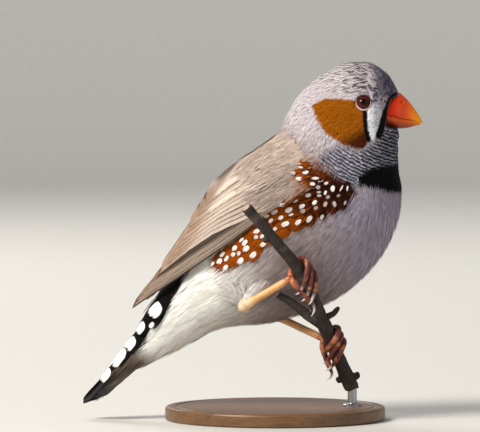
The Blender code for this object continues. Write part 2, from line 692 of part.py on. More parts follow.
def main():
    for thing in list(bpy.data.objects):
        bpy.data.objects.remove(thing)
    whole = body_loft(BODY, TAIL_CUT, FACE, 49, 40)
    tree = tree_of(whole, body_loft(TAIL_ROOT, 0, len(TAIL_ROOT) - 1, 7, 14))
    grown = body_loft(BODY, 0.0, FACE, 35, 26, GAP)
    neck_start, neck_end = NECK_CUT + NECK_GAP / 2, HEAD_CUT - HEAD_GAP / 2
    torso = body_loft(BODY, TAIL_CUT, NECK_CUT - NECK_GAP / 2, TORSO_RINGS, BODY_SIDES)
    neck = body_loft(BODY, neck_start, neck_end, NECK_RINGS, BODY_SIDES)
    shade(mesh_object("torso", torso, "plumage_white"), 60)
    shade(mesh_object("neck", neck, "plumage_grey"), 60)
    head(tree)
    upper_bill()
    lower_bill()
    wing(tree)
    tail()
    perch()
    leg("right", *RIGHT_LEG, grown)
    leg("left", *LEFT_LEG, grown)
    stand()


main()
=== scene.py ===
import math
from functools import partial

import bpy
import numpy as np
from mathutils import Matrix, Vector, noise
from mathutils.bvhtree import BVHTree
from mathutils.kdtree import KDTree


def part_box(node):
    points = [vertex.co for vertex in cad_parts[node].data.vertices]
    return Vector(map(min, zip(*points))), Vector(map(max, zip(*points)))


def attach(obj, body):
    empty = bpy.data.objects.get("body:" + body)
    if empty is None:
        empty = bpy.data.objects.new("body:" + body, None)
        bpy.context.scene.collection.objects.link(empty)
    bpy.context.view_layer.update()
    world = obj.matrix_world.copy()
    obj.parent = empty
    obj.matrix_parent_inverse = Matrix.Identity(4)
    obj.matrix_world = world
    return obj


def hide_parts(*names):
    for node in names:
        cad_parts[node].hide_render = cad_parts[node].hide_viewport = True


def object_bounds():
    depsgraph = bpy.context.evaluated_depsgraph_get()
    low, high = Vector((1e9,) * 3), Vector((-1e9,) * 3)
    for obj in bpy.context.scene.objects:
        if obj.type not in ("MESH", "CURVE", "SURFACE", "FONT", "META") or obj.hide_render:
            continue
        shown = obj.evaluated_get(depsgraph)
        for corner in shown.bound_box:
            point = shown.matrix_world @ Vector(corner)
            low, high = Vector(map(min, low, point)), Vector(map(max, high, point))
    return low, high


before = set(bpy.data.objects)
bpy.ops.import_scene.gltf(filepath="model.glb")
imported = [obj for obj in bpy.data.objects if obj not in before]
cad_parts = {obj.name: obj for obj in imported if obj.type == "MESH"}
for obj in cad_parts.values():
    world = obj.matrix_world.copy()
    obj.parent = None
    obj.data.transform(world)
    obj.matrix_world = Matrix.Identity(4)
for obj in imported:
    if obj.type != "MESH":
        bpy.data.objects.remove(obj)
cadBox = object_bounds()
mm = 0.001
rng = np.random.default_rng(11)
sideName = {1: "Right", -1: "Left"}


def hexColour(text):  # an sRGB hex value in linear light
    values = [int(text[i : i + 2], 16) / 255 for i in (1, 3, 5)]
    return np.array([v / 12.92 if v <= 0.04045 else ((v + 0.055) / 1.055) ** 2.4 for v in values])


def rgba(text):
    return (*hexColour(text), 1.0)


def unit(v):
    v = np.asarray(v, float)
    return v / np.maximum(np.linalg.norm(v, axis=-1, keepdims=True), 1e-9)


def curveRow(table, place):  # rows of a table at fractional places, on a Catmull-Rom curve
    rows = np.asarray(table, float)
    last = len(rows) - 1
    place = np.asarray(place, float)
    held = np.clip(place, 0, last)
    i = np.minimum(held.astype(int), last - 1)
    f = (held - i)[..., None]
    a, b = rows[np.maximum(i - 1, 0)], rows[i]
    c, d = rows[i + 1], rows[np.minimum(i + 2, last)]
    row = 0.5 * (2 * b + (c - a) * f + (2 * a - 5 * b + 4 * c - d) * f**2 + (3 * b - a - 3 * c + d) * f**3)
    over = (place - held)[..., None]  # past either end the curve runs on straight
    return row + np.where(over < 0, over * (rows[1] - rows[0]), over * (rows[-1] - rows[-2]))


def mixed(a, b, share):
    return a + (b - a) * np.asarray(share)[..., None]


def ramp(value, low, high):  # 0 below low, 1 above high
    f = np.clip((value - low) / (high - low), 0, 1)
    return f * f * (3 - 2 * f)


def plug(node, inputs):  # sets or links a node's sockets, by name or in the order that its panel shows
    shown = [socket for socket in node.inputs if socket.enabled]
    for key, value in inputs.items() if isinstance(inputs, dict) else enumerate(inputs):
        socket = node.inputs[key] if isinstance(key, str) else shown[key]
        if isinstance(value, bpy.types.NodeSocket):
            node.id_data.links.new(value, socket)
        else:
            socket.default_value = value


usualSettings = {"Mix": {"data_type": "RGBA"}, "Math": {"operation": "MULTIPLY"}}  # unless a call gives others


def addNode(tree, kind, inputs=(), out=0, **settings):  # gives back the socket that carries the result
    node = tree.nodes.new("ShaderNode" + kind)
    for key, value in (usualSettings.get(kind, {}) | settings).items():
        setattr(node, key, value)
    plug(node, inputs)
    return node.outputs[out] if isinstance(out, str) else [s for s in node.outputs if s.enabled][out]


def startMaterial(name, constants):  # the material, addNode for its own tree, and its shader
    material = bpy.data.materials.new(name)
    material.use_nodes = True
    tree = material.node_tree
    tree.nodes.clear()
    shader = addNode(tree, "BsdfPrincipled", constants)
    tree.links.new(shader, tree.nodes.new("ShaderNodeOutputMaterial").inputs[0])
    return material, partial(addNode, tree), shader.node


featherData = {"tint": "Color", "vane": "Vector"}  # what every feather's mesh carries, and how it is read
featherLook = {
    "barbWidth": 0.16,  # mm; real barbs are about 0.05 apart, drawn coarser so that they show
    "barbLength": 1.6,
    "barbContrast": 0.42,
    "rimPale": "#e8dfda",
    "barPale": "#dcdae9",
    "barSpacing": 0.78,  # mm between the dark bars of the throat
    "barCentre": (36.6, 96.8),  # in side view the bars are arcs about this point
}
barbScale = (1 / featherLook["barbWidth"], 1 / featherLook["barbLength"], 7.0)


def plumageMaterial():
    # Contour feathers: keratin barbs that part at the tips, soft and matt with a faint velvet edge
    material, add, shader = startMaterial(
        "contourFeather",
        {"Roughness": 0.9, "Specular IOR Level": 0.1, "Sheen Weight": 0.03, "Sheen Roughness": 0.5},
    )
    tint, vane = (add("Attribute", out=out, attribute_name=name) for name, out in featherData.items())
    along, rim, bars, run, grain = (
        add("Attribute", out="Fac", attribute_name=name) for name in ("along", "rim", "bars", "run", "grain")
    )
    scaled = add("Mapping", {"Vector": vane, "Scale": barbScale})
    barb = add("TexNoise", {"Vector": scaled, "Scale": 1.0})
    # throat bars: fine dark and pale lines across the lie of the feathers, broken up and wavering
    solid = add("TexCoord", out="Object")
    lumps = add("TexNoise", {"Vector": solid, "Scale": 620.0})
    frayed = add("Math", [barb, 0.45, run], operation="MULTIPLY_ADD")
    waved = add("Math", [lumps, 1.1, frayed], operation="MULTIPLY_ADD")
    broken = add("MapRange", [lumps, 0.36, 0.52, 1.0, 0.45])
    turned = add("Math", [waved, 2 * math.pi / featherLook["barSpacing"]])
    wave = add("Math", [turned], operation="SINE")
    edge = add("MapRange", [wave, -0.15, 0.5])
    worn = add("Math", [edge, broken])
    barShare = add("Math", [worn, bars])
    barred = add("Mix", [barShare, tint, rgba(featherLook["barPale"])])
    # pale tips, where the rim attribute asks for them
    tip = add("MapRange", [along, 0.74, 0.93])
    tipShare = add("Math", [tip, rim])
    rimmed = add("Mix", [tipShare, barred, rgba(featherLook["rimPale"])])
    # barbs lighter and darker, and the covered root darker as painted shade
    half = featherLook["barbContrast"]
    streak = add("MapRange", [barb, 0.3, 0.7, -half, half * 0.55])
    streaked = add("Math", [streak, grain, 1.0], operation="MULTIPLY_ADD")
    root = add("MapRange", [along, 0.35, 0.75, 0.9, 1.0])
    shade = add("Math", [streaked, root])
    final = add("Mix", [1.0, rimmed, shade], blend_type="MULTIPLY")
    bump = add("Bump", {"Height": barb, "Strength": 0.35, "Distance": 0.00006})
    plug(shader, {"Base Color": final, "Normal": bump})
    return material


def spottedMaterial(name, spotColour, edgeColour):
    # Feathers with a white oval near the tip, crisp at its rim
    material, add, shader = startMaterial(name, {"Roughness": 0.85, "Specular IOR Level": 0.1})
    tint, vane = (add("Attribute", out=out, attribute_name=name) for name, out in featherData.items())
    white, along = (add("Attribute", out="Fac", attribute_name=name) for name in ("rim", "along"))
    spot = add("Attribute", out="Vector", attribute_name="spot")
    scaled = add("Mapping", {"Vector": vane, "Scale": barbScale})
    barb = add("TexNoise", {"Vector": scaled, "Scale": 1.0})
    reach = add("VectorMath", [spot], operation="LENGTH")
    rough = add("Math", [barb, 0.2, reach], operation="MULTIPLY_ADD")
    solid = add("TexCoord", out="Object")
    lumps = add("TexNoise", {"Vector": solid, "Scale": 550.0, "Detail": 1.0})
    uneven = add("Math", [lumps, 0.5, rough], operation="MULTIPLY_ADD")
    oval = add("MapRange", [uneven, 1.26, 1.44, 1.0, 0.0])
    inside = add("Math", [oval, white])
    halo = add("MapRange", [rough, 1.2, 1.7, 1.0, 0.0])
    haloShare = add("Math", [halo, 0.5])
    darker = add("Mix", [haloShare, tint, rgba(edgeColour)])
    spotted = add("Mix", [inside, darker, rgba(spotColour)])
    streak = add("MapRange", [barb, 0.3, 0.7, 0.86, 1.08])
    # the covered root darker as painted shade
    root = add("MapRange", [along, 0.2, 0.5, 0.75, 1.0])
    shade = add("Math", [streak, root])
    final = add("Mix", [1.0, spotted, shade], blend_type="MULTIPLY")
    bump = add("Bump", {"Height": barb, "Strength": 0.35, "Distance": 0.00006})
    plug(shader, {"Base Color": final, "Normal": bump})
    return material


def flightMaterial(name, fringe, shaft, coveredShadow, gloss):
    # Flight feathers: barbs run out slantwise from a dark shaft, hooked into a smooth web with a pale worn fringe
    material, add, shader = startMaterial(name, {"Roughness": gloss, "Specular IOR Level": 0.2})
    tint, vane = (add("Attribute", out=out, attribute_name=name) for name, out in featherData.items())
    across = add("Attribute", out="Fac", attribute_name="across")
    split = add("SeparateXYZ", [vane]).node.outputs
    offset = add("Math", [split[0]], operation="ABSOLUTE")
    slant = add("Math", [offset, -1.6, split[1]], operation="MULTIPLY_ADD")
    barbPlace = add("CombineXYZ", [slant, split[0], split[2]])
    scaled = add("Mapping", {"Vector": barbPlace, "Scale": (4.0, 0.35, 9.0)})
    barb = add("TexNoise", {"Vector": scaled, "Scale": 1.0, "Detail": 3.0})
    long = add("Mapping", {"Vector": vane, "Scale": (2.2, 0.12, 5.0)})
    wear = add("TexNoise", {"Vector": long, "Scale": 1.0, "Detail": 3.0})
    # across is 0 at the outer edge and 1 where the next feather covers this one; from there on the web is darkened as
    # painted shadow of that feather
    frayed = add("Math", [wear, 0.5, across], operation="MULTIPLY_ADD")
    edge = add("MapRange", [frayed, 0.4, 0.62, 0.65, 0.0])
    covered = add("MapRange", [frayed, 0.8, 1.08, 0.0, 0.8])
    beyond = add("MapRange", [frayed, 1.5, 2.1, 1.0, 0.15])
    inner = add("Math", [covered, beyond])
    shaftPlace = add("MapRange", [offset, 0.06, 0.14, 0.8, 0.0])
    webbed = add("Mix", [inner, tint, rgba(coveredShadow)])
    fringed = add("Mix", [edge, webbed, rgba(fringe)])
    shafted = add("Mix", [shaftPlace, fringed, rgba(shaft)])
    streak = add("MapRange", [barb, 0.3, 0.7, 0.82, 1.12])
    final = add("Mix", [1.0, shafted, streak], blend_type="MULTIPLY")
    bump = add("Bump", {"Height": barb, "Strength": 0.5, "Distance": 0.00006})
    plug(shader, {"Base Color": final, "Normal": bump})
    return material


def addObject(name, data):
    thing = bpy.data.objects.new(name, data)
    bpy.context.scene.collection.objects.link(thing)
    return thing


def makePiece(name, points, faces, material, slotName, tint=None, fields=None, patch=None, normals=None):
    points = np.clip(np.asarray(points, float) * mm, np.array(cadBox[0]), np.array(cadBox[1]))
    faces = np.asarray(faces, np.int32)
    mesh = bpy.data.meshes.new(name)
    mesh.vertices.add(len(points))
    mesh.vertices.foreach_set("co", points.astype(np.float32).ravel())
    sides = faces.shape[1]
    mesh.loops.add(faces.size)
    mesh.loops.foreach_set("vertex_index", faces.ravel())
    mesh.polygons.add(len(faces))
    mesh.polygons.foreach_set("loop_start", np.arange(0, faces.size, sides, dtype=np.int32))
    mesh.update(calc_edges=True)
    mesh.polygons.foreach_set("use_smooth", np.ones(len(faces), bool))
    if tint is not None:
        colours = np.ones((len(points), 4), np.float32)
        colours[:, :3] = tint
        mesh.color_attributes.new("tint", "FLOAT_COLOR", "POINT").data.foreach_set("color", colours.ravel())
    for key, value in (fields or {}).items():
        value = np.asarray(value, np.float32)
        kind, part = ("FLOAT", "value") if value.ndim == 1 else ("FLOAT_VECTOR", "vector")
        mesh.attributes.new(key, kind, "POINT").data.foreach_set(part, value.ravel())
    if patch is not None:
        layer = mesh.uv_layers.new(name="OFBake")
        layer.data.foreach_set("uv", np.asarray(patch, np.float32)[faces.ravel()].ravel())
    if normals is not None:
        mesh.normals_split_custom_set_from_vertices([tuple(n) for n in normals])
    mesh.materials.append(material)
    piece = addObject(name, mesh)
    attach(piece, "root")
    return piece


def gridOf(first, second):
    return np.meshgrid(first, second, indexing="ij")


def fullTurn(count):  # angles all the way round
    return np.linspace(0, 2 * math.pi, count, endpoint=False)


def ringFaces(count, sides):  # triangles between rings of equal count, all the way round
    i, k = gridOf(np.arange(count - 1), np.arange(sides))
    a, b = i * sides + k, i * sides + (k + 1) % sides
    c, d = b + sides, a + sides
    return np.concatenate([np.stack(corners, -1).reshape(-1, 3) for corners in ((a, b, c), (a, c, d))])


def outward(points, faces):  # a closed shape's triangles, all facing out
    corner = points[faces]
    volume = np.einsum("ij,ij->", corner[:, 0], np.cross(corner[:, 1], corner[:, 2]))
    return faces if volume > 0 else faces[:, ::-1]


def closedRings(rings):  # points and outward triangles of a solid through rings
    count, sides = len(rings), len(rings[0])
    points = np.concatenate([*rings, rings[0].mean(axis=0)[None], rings[-1].mean(axis=0)[None]])
    near = np.arange(sides)
    nextOne = (near + 1) % sides
    first, last = np.full(sides, count * sides), np.full(sides, count * sides + 1)
    far = (count - 1) * sides
    ends = np.stack([nextOne, near, first], -1), np.stack([far + near, far + nextOne, last], -1)
    faces = np.concatenate([ringFaces(count, sides), *ends])
    return points, outward(points, faces)


def turnedTo(first, second, angle):  # directions at angles from one of two square axes towards the other
    angle = np.asarray(angle)[..., None]
    return first * np.cos(angle) + second * np.sin(angle)


def levelRings(outline, sides, centre=(0.0, 0.0)):  # rings about an upright axis, through rows of radius and height
    turns = fullTurn(sides)
    x, y = np.cos(turns), np.sin(turns)
    return [np.stack([centre[0] + r * x, centre[1] + r * y, np.full(sides, z)], -1) for r, z in outline]


def ballRings(rows, sides):  # rings of points on a ball of radius 1
    polar, around = gridOf(np.linspace(0.1, math.pi - 0.1, rows), fullTurn(sides))
    return np.stack([np.sin(polar) * np.cos(around), np.sin(polar) * np.sin(around), np.cos(polar)], -1)


def joined(parts):  # points, faces and any values at the points of several shapes, in one
    starts = np.cumsum([0] + [len(part[0]) for part in parts])
    points, faces, *values = zip(*parts)
    faces = [these + start for these, start in zip(faces, starts)]
    return tuple(np.concatenate(column) for column in (points, faces, *values))


# The body's form: back x, z, belly x, z, half width, rise of the widest level; tail root to bill
stations = (
    (-39.4, 11.6, -38.4, 8.4, 1.7, 0.0),
    (-35.4, 17.0, -34.6, 11.8, 2.4, 0.0),
    (-32.6, 21.0, -31.9, 12.7, 3.2, 0.0),
    (-30.2, 25.5, -24.8, 16.0, 5.0, 0.0),
    (-27.1, 30.4, -18.6, 19.1, 7.0, 0.0),
    (-23.4, 36.3, -11.1, 21.7, 9.0, 0.0),
    (-18.6, 43.0, -2.6, 22.4, 11.0, 0.05),
    (-14.2, 49.6, 5.9, 24.5, 12.6, 0.1),
    (-9.9, 55.9, 14.2, 28.1, 13.5, 0.1),
    (-6.1, 61.4, 21.0, 33.3, 13.8, 0.1),
    (-2.8, 64.4, 26.2, 39.9, 13.6, 0.05),
    (0.0, 67.3, 29.3, 47.4, 12.9, 0.0),
    (1.9, 70.6, 30.0, 54.0, 11.8, 0.0),
    (3.8, 74.3, 29.3, 58.3, 10.6, 0.0),
    (6.6, 77.9, 29.1, 61.4, 9.7, 0.0),
    (11.1, 81.2, 28.8, 63.5, 9.0, -0.05),
    (16.5, 84.0, 28.1, 65.4, 8.4, -0.1),
    (21.9, 84.3, 27.1, 66.8, 7.4, -0.1),
    (26.4, 81.5, 26.8, 67.7, 5.9, -0.05),
    (29.0, 77.6, 27.0, 68.3, 4.2, 0.0),
)
faceEnd = len(stations) - 1.0
body = {
    "roundness": 2.2,
    "chin": ((14.5, 0.0), (16, 0.8), (17, 2.2), (18, 2.3), (19, 1.4)),  # how far the chin's feathers stand forward
    "faceTaper": 0.46,  # how much narrower the face is where it meets the bill
}


def bodyAt(place, angle, height=0.0):  # angle 0 is the back, a quarter turn the right side
    bx, bz, vx, vz, wide, rise = np.moveaxis(curveRow(stations, place), -1, 0)
    upX, upZ = (bx - vx) / 2, (bz - vz) / 2
    half = np.hypot(upX, upZ)
    c, s = np.cos(angle), np.sin(angle)
    c2 = np.sign(c) * np.abs(c) ** (2 / body["roundness"])
    s2 = np.sign(s) * np.abs(s) ** (2 / body["roundness"])
    level = (half + height) * c2 + rise * half * s * s
    point = np.stack(
        [(bx + vx) / 2 + upX / half * level, -(wide + height) * s2, (bz + vz) / 2 + upZ / half * level], -1
    )
    narrow = body["faceTaper"] * ramp(point[..., 0], 22.6, 27.6) * np.exp(-(((point[..., 2] - 73.0) / 5.2) ** 4))
    point[..., 1] *= 1 - narrow
    chin = np.interp(place, *zip(*body["chin"])) * ramp(-c, 0.45, 1.0)
    point[..., 0] += chin
    return point


def pointTree(points):
    tree = KDTree(len(points))
    for index, point in enumerate(points):
        tree.insert(point, index)
    tree.balance()
    return tree


def meshTree(points, faces):
    return BVHTree.FromPolygons([tuple(p) for p in points], [tuple(f) for f in faces])


def tangents(surface, place, angle):
    e = 0.02
    dPlace = (surface(place + e, angle) - surface(place - e, angle)) / (2 * e)
    dAngle = (surface(place, angle + e) - surface(place, angle - e)) / (2 * e)
    return dPlace, dAngle, unit(np.cross(dAngle, dPlace))


def inSurface(dPlace, dAngle, direction):  # a direction in space as steps of place and angle
    g11, g12, g22 = (np.sum(a * b, -1) for a, b in ((dPlace, dPlace), (dPlace, dAngle), (dAngle, dAngle)))
    b1, b2 = np.sum(dPlace * direction, -1), np.sum(dAngle * direction, -1)
    det = np.maximum(g11 * g22 - g12 * g12, 1e-6)
    return (g22 * b1 - g12 * b2) / det, (g11 * b2 - g12 * b1) / det


sidePlaces = gridOf(np.linspace(-0.5, faceEnd, 391), np.linspace(0.02, math.pi - 0.02, 160))
sidePoints = bodyAt(*sidePlaces).reshape(-1, 3)
sideFlat = np.stack([axis.ravel() for axis in sidePlaces], -1)
sideTree = pointTree(sidePoints[:, [0, 2, 2]] * (1, 1, 0))


def placeInView(x, z):  # place and angle of the right side's surface seen at x, z
    found = [sideTree.find_n((a, b, 0.0), 4) for a, b in zip(np.ravel(x), np.ravel(z))]
    result = []
    for near in found:
        weight = np.array([1 / (hit[2] + 0.02) for hit in near])
        rows = sideFlat[[hit[1] for hit in near]]
        result.append((rows * weight[:, None]).sum(0) / weight.sum())
    return np.array(result)


# Markings, as outlines in side view and named colours
marks = {
    "cheek": (
        (8.5, 74.3), (11.5, 76.0), (15.0, 75.9), (18.9, 75.5), (20.7, 73.2), (20.6, 69.0), (21.8, 66.0),
        (20.6, 64.3), (18.0, 64.4), (15.3, 65.6), (11.8, 67.8), (9.7, 71.1),
    ),
    "faceStripe": (
        (21.5, 74.6), (22.9, 75.1), (24.5, 74.4), (25.0, 72.7), (24.8, 69.6), (24.1, 67.4), (23.1, 66.0),
        (22.2, 66.6), (21.8, 68.9), (21.6, 72.0),
    ),
    "throat": (
        (10.4, 63.4), (14.6, 65.6), (19.5, 64.0), (22.6, 66.2), (24.8, 69.8), (32.0, 71.0), (31.5, 60.5),
        (26.2, 59.0), (20.0, 54.8), (15.2, 55.6), (12.4, 58.6), (9.6, 61.0),
    ),
    "breastBand": (
        (32.5, 60.9), (32.5, 53.2), (29.6, 53.6), (25.8, 54.1), (22.7, 55.0), (20.1, 55.5), (19.2, 56.8),
        (20.0, 58.7), (21.8, 59.7), (25.0, 60.2), (28.5, 60.5),
    ),
    "flank": (
        (5.2, 61.4), (10.1, 61.1), (13.2, 58.5), (17.9, 55.5), (19.1, 54.0), (17.7, 51.9), (15.3, 50.5), (9.7, 47.4),
        (2.1, 44.6), (-2.6, 41.3), (-9.3, 36.6), (-13.0, 35.2), (-15.6, 36.3), (-14.9, 38.2), (-8.3, 43.7),
        (-2.8, 48.9), (2.4, 52.4), (6.1, 54.3), (5.7, 56.6), (4.0, 58.3), (3.8, 59.9),
    ),
    "rump": (
        (-20.3, 36.0), (-21.1, 34.0), (-22.7, 31.0), (-24.1, 28.9), (-26.5, 26.0), (-28.6, 23.1), (-30.0, 20.4),
        (-31.0, 18.1), (-33.1, 15.9), (-35.5, 14.0), (-38.0, 11.4), (-46.0, 6.0), (-46.0, 20.0), (-26.0, 42.0),
    ),
    "tear": ((21.0, 73.4), (20.95, 70.8), (21.25, 68.4), (21.9, 66.3)),
    "lores": ((28.2, 77.0), (26.8, 75.8), (26.2, 74.2), (25.8, 72.6), (25.3, 70.6), (24.7, 68.6), (24.2, 67.3)),
    "billSide": (
        (27.3, 76.2), (26.5, 74.4), (26.1, 72.8), (25.8, 71.0), (25.6, 69.4), (26.2, 68.9), (27.6, 68.6),
        (30.0, 68.6), (34.0, 69.2), (35.4, 70.2), (31.6, 75.8), (29.2, 76.6),
    ),
}
shades = {
    "nape": "#cbc1c5",
    "crown": "#dad0d0",
    "crownDark": "#2c2630",
    "forehead": "#5b4f6b",
    "neckSide": "#bdb4b9",
    "cheek": "#9d5600",
    "cheekLow": "#4a1d05",
    "white": "#fbfaff",
    "stripeDark": "#8f93ae",
    "black": "#040405",
    "throatFar": "#58535f",
    "throatNear": "#171522",
    # breast and belly are greyed with painted shade
    "breast": "#a59cab",
    "belly": "#a39595",
    "vent": "#fdfbf3",
    "mantle": "#a69286",
    "chestnut": "#964603",
    "chestnutInShade": "#220904",
    "rump": "#080707",
}
shades = {key: hexColour(value) for key, value in shades.items()}


def toSegment(x, z, a, b):  # distance to the line between two points
    (ax, az), (dx, dz) = a, np.subtract(b, a)
    f = np.clip(((x - ax) * dx + (z - az) * dz) / (dx * dx + dz * dz), 0, 1)
    return np.hypot(x - ax - f * dx, z - az - f * dz)


def depthInside(x, z, outline):  # distance to an outline, positive inside it
    outline = np.asarray(outline, float)
    result = np.full(x.shape, -9.0)
    low, high = outline.min(0) - 2, outline.max(0) + 2
    near = (x > low[0]) & (x < high[0]) & (z > low[1]) & (z < high[1])
    px, pz = x[near], z[near]
    best, inside = np.full(px.shape, 1e9), np.zeros(px.shape, bool)
    for (ax, az), (bx, bz) in zip(outline, np.roll(outline, -1, axis=0)):
        best = np.minimum(best, toSegment(px, pz, (ax, az), (bx, bz)))
        inside ^= ((az > pz) != (bz > pz)) & (px < (bx - ax) * (pz - az) / (bz - az + 1e-12) + ax)
    result[near] = np.where(inside, best, -best)
    return result


def lineDistance(x, z, line):
    return np.minimum.reduce([toSegment(x, z, a, b) for a, b in zip(line, line[1:])])


def patchy(point, scale, seed):  # smooth value noise, about 0 to 1, with lumps of the given size in mm
    result = np.zeros(point.shape[:-1])
    turn = np.random.default_rng(seed)
    for _ in range(5):
        way, phase = unit(turn.normal(size=3)), turn.uniform(0, 6.28)
        bend = unit(turn.normal(size=3))
        result += np.sin(point @ way * (2 * math.pi / scale) + phase + 1.6 * np.sin(point @ bend * (3.1 / scale)))
    return np.clip(0.5 + result / 5, 0, 1)


def plumage(point, place, angle):  # colour, pale rim, throat bars and strength of the streaks at points in mm
    x, z = point[..., 0], point[..., 2]
    dorsal = np.cos(angle)

    def inside(name, low, high):
        return ramp(depthInside(x, z, marks[name]), low, high)

    # the underside greys from the cream vent forwards to the breast: painted shade
    belly = mixed(shades["vent"], shades["belly"], ramp(x, -16, 2))
    belly = mixed(belly, shades["breast"], ramp(x + 0.3 * z, 20, 34))
    back = ramp(dorsal, -0.05, 0.25) * ramp(place, 6.4, 7.4)
    colour = mixed(belly, shades["mantle"], back)
    rim = 0.2 * back
    colour = mixed(colour, shades["rump"], inside("rump", -0.3, 0.3))
    # head and neck
    grey = ramp(place + 0.36 * (1 - dorsal), 10.7, 12.4) * ramp(z - 0.35 * x, 44.0, 49.5)
    head = mixed(shades["neckSide"], shades["nape"], ramp(dorsal, -0.2, 0.5))
    crown = ramp(x, 9.0, 16.0) * ramp(z, 75.8, 78.6)
    speckle = ramp(patchy(point * (0.5, 1.3, 1.3), 1.0, 5) + 0.5 * ramp(x, 12, 24), 0.7, 0.95)
    head = mixed(head, mixed(shades["crown"], shades["crownDark"], speckle * 0.9), crown)
    forehead = ramp(x + 0.3 * (z - 80), 22.0, 25.2) * ramp(z + 0.25 * (x - 24), 75.4, 77.4)
    head = mixed(
        head, mixed(shades["forehead"], shades["crown"], 0.4 * ramp(patchy(point, 1.2, 8), 0.62, 0.85)), forehead
    )
    lore = ramp(x, 20.8, 22.0) * ramp(z, 74.2, 75.2) * (1 - forehead)
    head = mixed(head, mixed(shades["crown"], shades["forehead"], ramp(patchy(point, 1.1, 6), 0.35, 0.6)), lore)
    colour = mixed(colour, head, grey)
    rim = np.where(grey > 0.5, 0.15 * crown + 0.1 * forehead, rim)
    bars = inside("throat", -0.6, 1.6)
    band = inside("breastBand", -0.25, 0.35)
    slate = mixed(shades["throatFar"], shades["throatNear"], ramp(x - 0.4 * (z - 62), 13, 25))
    colour = mixed(colour, slate, bars)
    uneven = ramp(z - 0.6 * x, 47, 53) * (patchy(point * (1.2, 1.2, 0.6), 0.9, 3) - 0.55)
    flank = ramp(depthInside(x, z, marks["flank"]) + 2.6 * uneven, -0.3, 0.3)
    # the chestnut darkens towards the front and bottom of the flank: painted shade
    warm = mixed(shades["chestnut"], shades["chestnutInShade"], ramp(x, 3, 15) * 0.85 + 0.15 * ramp(-z, -48, -40))
    colour = mixed(colour, warm, flank)
    cheek = inside("cheek", -0.12, 0.12)
    warmCheek = mixed(shades["cheek"], shades["cheekLow"], ramp(-z + 0.6 * (x - 17), -68.6, -64.6))
    colour = mixed(colour, warmCheek, cheek)
    stripe = inside("faceStripe", -0.2, 0.12)
    mottle = ramp(patchy(point, 0.9, 9) + 0.3 * ramp(z, 73, 75), 0.5, 0.75)
    colour = mixed(colour, mixed(shades["white"], shades["stripeDark"], 0.45 * mottle), stripe)
    tear = ramp(-lineDistance(x, z, marks["tear"]), -0.66, -0.4)
    lores = ramp(0.8 - 0.42 * ramp(z, 71.5, 75.0) - lineDistance(x, z, marks["lores"]), -0.15, 0.15)
    shown = (1 - cheek) * (1 - stripe) * (1 - tear) * (1 - band) * (1 - lores)
    dark = np.maximum(np.maximum(tear, lores), band)
    colour = mixed(colour, shades["black"], dark)
    rim = rim * (1 - np.maximum(np.maximum(cheek, stripe), np.maximum(dark, flank)))
    bars = bars * (1 - 0.4 * ramp(x - 0.5 * (z - 62), 20, 28))
    grain = 0.2 + 0.5 * back + 0.9 * ramp(-x, -2, 6) * ramp(x, -15, -9) * (1 - grey)
    grain = (grain + 0.35 * crown * grey + 0.3 * stripe) * (1 - 0.4 * cheek)
    return colour, rim * (1 - bars), bars * shown * (1 - flank), grain


def featherTemplate(strips, stops, taper=0.75):  # strips side by side, each tapering to a point at its own length
    u, v, strip, faces = [], [], [], []
    for k in range(strips):
        middle = -1 + (2 * k + 1) / strips
        start = len(u)
        for j, stop in enumerate(stops):
            share = 1.12 if stop < 0.45 else 1.12 - taper * (stop - 0.45) / 0.55
            for side in (-1, 1):
                u.append(stop)
                v.append(middle + side * share / strips)
                strip.append(k)
            if j:
                a = start + 2 * j
                faces += [(a - 2, a - 1, a + 1), (a - 2, a + 1, a)]
        u.append(1.0)
        v.append(middle)
        strip.append(k)
        a = start + 2 * len(stops)
        faces.append((a - 2, a - 1, a))
    return {"u": np.array(u), "v": np.array(v), "strip": np.array(strip), "faces": np.array(faces), "strips": strips}


def flowNodes(surface, place, angle, length, sweep, count=6):  # feather centrelines that follow the lie of the coat
    places, angles = [place], [angle]
    for _ in range(count - 1):
        dPlace, dAngle, normal = tangents(surface, places[-1], angles[-1])
        back = unit(-dPlace)
        down = np.cross(normal, back)
        side = np.sin(angles[-1])
        turn = sweep * np.sign(side) * np.minimum(np.abs(side) * 2.5, 1)
        way = back * np.cos(turn)[..., None] + down * np.sin(turn)[..., None]
        stepPlace, stepAngle = inSurface(dPlace, dAngle, way)
        places.append(places[-1] + stepPlace * length / (count - 1))
        angles.append(angles[-1] + stepAngle * length / (count - 1))
    return np.array(places), np.array(angles)


def straightNodes(start, end, count=6):
    f = np.linspace(0, 1, count)[:, None]
    return start[:, 0] + (end - start)[:, 0] * f, start[:, 1] + (end - start)[:, 1] * f


usualLook = {
    "fray": 0.12,  # how unevenly the barb tips end, as a share of the length
    "round": 0.3,  # how much shorter the outer barbs are
    "drift": 0.05,  # sideways wandering of the barbs
    "lift": 0.1,  # mm that single strips stand up
    "jitter": 0.07,  # unrest of the shading
    "crown": 0.1,  # mm that the middle stands above the edges
    "rise": 0.85,  # below 1 the feather rises early, above 1 late
    "roll": 0.35,  # how far the shading turns towards the edges
}
patchSize = 0.003  # width and length of a feather's patch on the OFBake map


